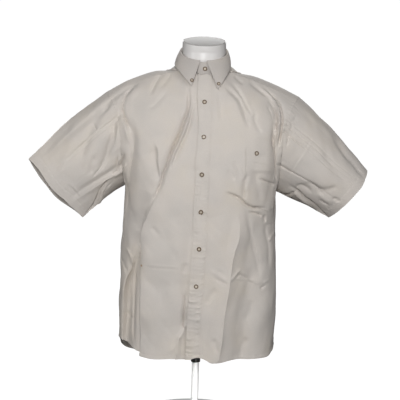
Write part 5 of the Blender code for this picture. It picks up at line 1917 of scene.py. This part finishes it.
@dataclass(frozen=True)
class Lacquer:
    """Smooth paint or plastic of one colour, with a faint unevenness."""

    name: str
    colour: Colour
    rough: float
    coat: float = 0.0

    def shader(self) -> Shader:
        """Makes the material."""
        coat = {"Coat Weight": self.coat, "Coat Roughness": 0.2}
        made = Shader(self.name, self.rough, self.colour, coat)
        place = made.add("TexCoord").outputs["Object"]
        smear = made.noise(place, scale=14.0, detail=3.0)
        less = tuple(0.955 * value for value in self.colour)
        made.paint(made.ramp(smear, [(0.3, less), (0.7, self.colour)]))
        bump = made.bump(made.noise(place, scale=260.0, detail=2.0), 0.12, 0.2 * MM)
        made.link(bump.outputs["Normal"], made.surface.inputs["Normal"])
        return made


@dataclass
class Form:
    """The limbless form that wears the shirt, and the cap on its neck."""

    rings: Rows = (
        (300, 148, 98, 92), (340, 156, 106, 98), (420, 156, 108, 98), (500, 147, 104, 92),
        (570, 150, 110, 95), (640, 160, 116, 100), (710, 172, 116, 103), (770, 184, 108, 102),
        (815, 197, 94, 92), (845, 201, 78, 78), (866, 190, 68, 70), (880, 170, 61, 65),
        (890, 139, 56, 62), (901.5, 104, 55, 60), (912, 78, 56, 57), (922, 60, 57, 50),
        (940, 55.3, 57.5, 46.5), (964, 56, 57.5, 46), (974, 56, 59, 47.5), (992, 55.2, 61, 49.4),
    )
    power: float = 2.1
    tilt: float = math.radians(14)
    cap_y: float = -0.006
    cap_z: float = 0.9866
    cap_radius: float = 0.0538
    cap_thick: float = 3.6 * MM
    around: int = 96
    rim_z: float = 989.2
    inset: Triple = (0.983, 0.983, 1)

    def ring(self, z: float, body: Body) -> Grid:
        """A ring of the form, level but for the tilt of the neck."""
        table = np.array(self.rings)
        half, front, back = (np.interp(z, table[:, 0], table[:, k]) for k in (1, 2, 3))
        less = 1.3 * (1 - smooth_step(z, 925, 945))
        angle = np.linspace(0, 2 * np.pi, self.around, endpoint=False)
        depth = np.where(np.cos(angle) > 0, front - less, back - less) * MM
        wide = (half - less) * MM
        reach = (np.abs(np.sin(angle)) / wide) ** self.power + (np.abs(np.cos(angle)) / depth) ** self.power
        radius = reach ** (-1 / self.power)
        y = -radius * np.cos(angle)
        tilt = math.tan(self.tilt) * smooth_step(z, 945, self.rings[-1][0])
        points = np.stack([radius * np.sin(angle), y, z * MM + (y - self.cap_y) * tilt], axis=-1)
        return body.raised(points)

    def make(self, body: Body, skin: Shader, cap: Shader) -> None:
        """Makes the form and its cap."""
        spans = ((self.rim_z, 925, 24), (918, 850, 18), (840, 300, 30))
        levels = np.concatenate([np.linspace(*span) for span in spans])
        grid = np.array([self.ring(z, body) for z in levels])
        middle = np.array((0, self.cap_y, 0))
        inner = [(self.ring(z, body) - middle) * self.inset + middle for z in (self.rim_z - 3, self.rim_z)]
        grid = np.concatenate([inner, grid])
        piece = laid_sheet("form_torso", grid, 1, 0, closed=True)
        only(piece)
        bpy.ops.object.mode_set(mode="EDIT")
        bpy.ops.mesh.select_all(action="DESELECT")
        bpy.ops.mesh.select_non_manifold()
        bpy.ops.mesh.edge_face_add()
        bpy.ops.mesh.select_all(action="SELECT")
        bpy.ops.mesh.normals_make_consistent(inside=False)
        bpy.ops.object.mode_set(mode="OBJECT")
        hard_piece(piece, skin, "form_white", "dress_form")
        lid = turned_disc("form_cap", self.cap_radius, self.cap_thick, 0.9 * MM, 96)
        lid.rotation_euler = (self.tilt, 0, 0)
        half_up = Euler((self.tilt, 0, 0)).to_matrix() @ Vector((0, 0, self.cap_thick / 2))
        lid.location = Vector((0, self.cap_y, self.cap_z)) + half_up
        settle_origin(lid)
        hard_piece(lid, cap, "cap_grey", "neck_cap")


def turned_disc(name: str, radius: float, height: float, edge: float, sides: int) -> bpy.types.Object:
    """A round bar or plate with softened rims, centred on the origin.

    Args:
        name: The piece's name.
        radius: Its radius, in metres.
        height: Its height, in metres.
        edge: How far its rims are rounded, in metres.
        sides: How many sides its circle has.

    Returns:
        The piece.
    """
    bpy.ops.object.select_all(action="DESELECT")
    bpy.ops.mesh.primitive_cylinder_add(vertices=sides, radius=radius, depth=height)
    piece = bpy.context.active_object
    piece.name = name
    bpy.ops.object.mode_set(mode="EDIT")
    bpy.ops.mesh.select_all(action="DESELECT")
    bpy.ops.object.mode_set(mode="OBJECT")
    for face in piece.data.polygons:
        face.select = abs(face.normal.z) > 0.9
    bpy.ops.object.mode_set(mode="EDIT")
    bpy.ops.mesh.inset(thickness=max(3 * edge, radius * 0.08))
    bpy.ops.object.mode_set(mode="OBJECT")
    soften(piece, edge, 4, HARD_ANGLE)
    bpy.ops.object.shade_smooth_by_angle(angle=HARD_ANGLE)
    return piece


@dataclass
class Stand:
    """The socket under the form, the pole and the round base."""

    socket: Triple = (12.5 * MM, 0.152, 0.2997)
    pole: Triple = (9.5 * MM, 0.0123, 0.1517)
    base: Triple = (0.150, 0.0, 0.012)

    def make(self, black: Shader, white: Shader) -> None:
        """Makes the three round pieces."""
        for name, sizes, edge, finish, slot, node in (
            ("stand_socket", self.socket, 0.8 * MM, black, "socket_black", "pole_socket"),
            ("stand_pole", self.pole, 0.4 * MM, white, "stand_white", "pole"),
            ("stand_base", self.base, 3 * MM, white, "stand_white", "base_plate"),
        ):
            radius, low, high = sizes
            piece = turned_disc(name, radius, high - low, edge, 96 if radius > 0.1 else 48)
            piece.location = (0, 0, (low + high) / 2)
            settle_origin(piece)
            hard_piece(piece, finish, slot, node)


@dataclass
class Shirt:
    """The whole shirt, made piece by piece."""

    body: Body = field(default_factory=Body)
    collar: Collar = field(default_factory=Collar)
    placket: Placket = field(default_factory=Placket)
    pocket: Pocket = field(default_factory=Pocket)
    buttons: Buttons = field(default_factory=Buttons)
    stitching: Stitching = field(default_factory=Stitching)
    sleeves: tuple[Sleeve, Sleeve] = (
        Sleeve(-1, "sleeve_right", (-444, -22, 676), (-301, -38, 531), 32, 40, 8, 12, (-0.68, -0.24, -0.69)),
        Sleeve(1, "sleeve_left", (436, 22, 666), (335, -2, 543), 58, 58, 2, 0, (0.77, 0.10, -0.63)),
    )

    def make(self) -> None:
        """Makes every piece of the shirt."""
        cloth, thread = Cloth().shader(), Thread().shader()
        self.body.lay_out()
        self.body.make(cloth)
        for sleeve in self.sleeves:
            sleeve.make(self.body, cloth)
        # The collar gets a darker copy of the shirt's cloth: painted shade, not a different cloth
        self.collar.make(self.body, Cloth("collar_twill_painted_shade", *self.collar.painted_shade_tones).shader())
        self.placket.make(self.body, cloth)
        self.pocket.make(self.body, cloth)
        places = self.buttons.places(self.body, self.collar, self.placket, self.pocket)
        self.buttons.make(places, Horn().shader(), thread)
        self.stitching.make(self, thread)


@dataclass
class Studio:
    """The camera, soft lights and pale surroundings."""

    aim: Triple = (0, 0, 0.58)
    distance: float = 3.2
    elevation: float = math.radians(6)
    roll: float = math.radians(1.6)
    pixel: float = 0.0026
    pixels: int = 400
    ambient: float = 0.045
    glow: float = 1.02
    pole_power: float = 40.0
    pole_spread: float = math.radians(8.6)
    pole_lamp: Triple = (0, -1.2, 0.05)
    pole_aim: Triple = (0, 0, 0.088)
    reach: float = 3.6
    lights: tuple[tuple[str, float, float, float, float], ...] = (
        ("front", -4, 15, 0.8, 69.0),
        ("right", 38, 18, 0.9, 26.0),
        ("left", -58, 12, 1.2, 22.0),
        ("above", 0, 62, 1.4, 10.0),
        ("behind", 180, 32, 1.6, 50.0),
    )

    def camera(self) -> None:
        """Sets the camera at the photograph's angle."""
        back = Vector((0, -math.cos(self.elevation), math.sin(self.elevation)))
        bpy.ops.object.camera_add(location=Vector(self.aim) + back * self.distance)
        camera = bpy.context.active_object
        camera.rotation_mode = "QUATERNION"
        camera.rotation_quaternion = back.to_track_quat("Z", "Y") @ Euler((0, 0, self.roll)).to_quaternion()
        camera.data.sensor_width = 36
        camera.data.lens = 36 * self.distance / (self.pixels * self.pixel)
        bpy.context.scene.camera = camera

    def spot(self) -> None:
        """Adds a narrow lamp that lights the pole under the hem."""
        place = Vector(self.pole_lamp)
        bpy.ops.object.light_add(type="SPOT", location=place)
        lamp = bpy.context.active_object
        lamp.name = "light_pole"
        lamp.data.energy = self.pole_power
        lamp.data.spot_size = self.pole_spread
        lamp.data.spot_blend = 0.3
        lamp.data.shadow_soft_size = 0.03
        lamp.rotation_euler = (place - Vector(self.pole_aim)).to_track_quat("Z", "Y").to_euler()

    def light(self) -> None:
        """Adds the soft lights."""
        for name, azimuth, height, size, power in self.lights:
            a, e = math.radians(azimuth), math.radians(height)
            way = Vector((math.sin(a) * math.cos(e), -math.cos(a) * math.cos(e), math.sin(e)))
            bpy.ops.object.light_add(type="AREA", location=Vector((0, 0, 0.6)) + way * self.reach)
            lamp = bpy.context.active_object
            lamp.name = f"light_{name}"
            lamp.data.size = size
            lamp.data.energy = power
            lamp.rotation_euler = way.to_track_quat("Z", "Y").to_euler()
            lamp.visible_camera = False

    def surroundings(self) -> None:
        """Adds the floor, the pale backdrop and the light of the room."""
        world = bpy.data.worlds.new("room")
        world.use_nodes = True
        shade = world.node_tree.nodes["Background"]
        shade.inputs["Color"].default_value = (1, 1, 1, 1)
        shade.inputs["Strength"].default_value = self.ambient
        bpy.context.scene.world = world
        bpy.ops.mesh.primitive_uv_sphere_add(segments=48, ring_count=24, radius=24)
        dome = bpy.context.active_object
        dome.name = "stage_dome"
        bpy.ops.mesh.primitive_circle_add(vertices=64, radius=20, fill_type="NGON", location=(0, 0, -0.0005))
        floor = bpy.context.active_object
        floor.name = "stage_floor"
        glow = {"Specular IOR Level": 0.0, "Emission Color": (1, 1, 1, 1), "Emission Strength": self.glow}
        surfaces = ((dome, "pale_backdrop", 0.02, 0.5), (floor, "pale_floor", 0.10, 0.9))
        for thing, name, grey, rough in surfaces:
            Shader(name, rough, (grey,) * 3, glow).dress(thing)
            thing.visible_diffuse = False
            thing.visible_glossy = False
            thing.visible_transmission = False
            thing.visible_shadow = False

    def make(self) -> None:
        """Sets up the studio."""
        bpy.ops.object.select_all(action="DESELECT")
        self.camera()
        self.light()
        self.spot()
        self.surroundings()
        bpy.context.scene.view_settings.view_transform = "Standard"


def main() -> None:
    """Builds the shirt, its form, its stand and the studio."""
    logging.basicConfig(level=logging.INFO, format="%(name)s: %(message)s")
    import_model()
    shirt = Shirt()
    shirt.make()
    white = Lacquer("white_lacquer", (0.80, 0.78, 0.765), 0.36, coat=0.15)
    Form().make(shirt.body, white.shader(), Lacquer("grey_cap", (0.34, 0.325, 0.31), 0.55).shader())
    Stand().make(
        Lacquer("black_socket", (0.025, 0.024, 0.023), 0.45).shader(),
        Lacquer("white_stand", (0.86, 0.86, 0.85), 0.35).shader(),
    )
    Studio().make()


if __name__ == "__main__":
    main()
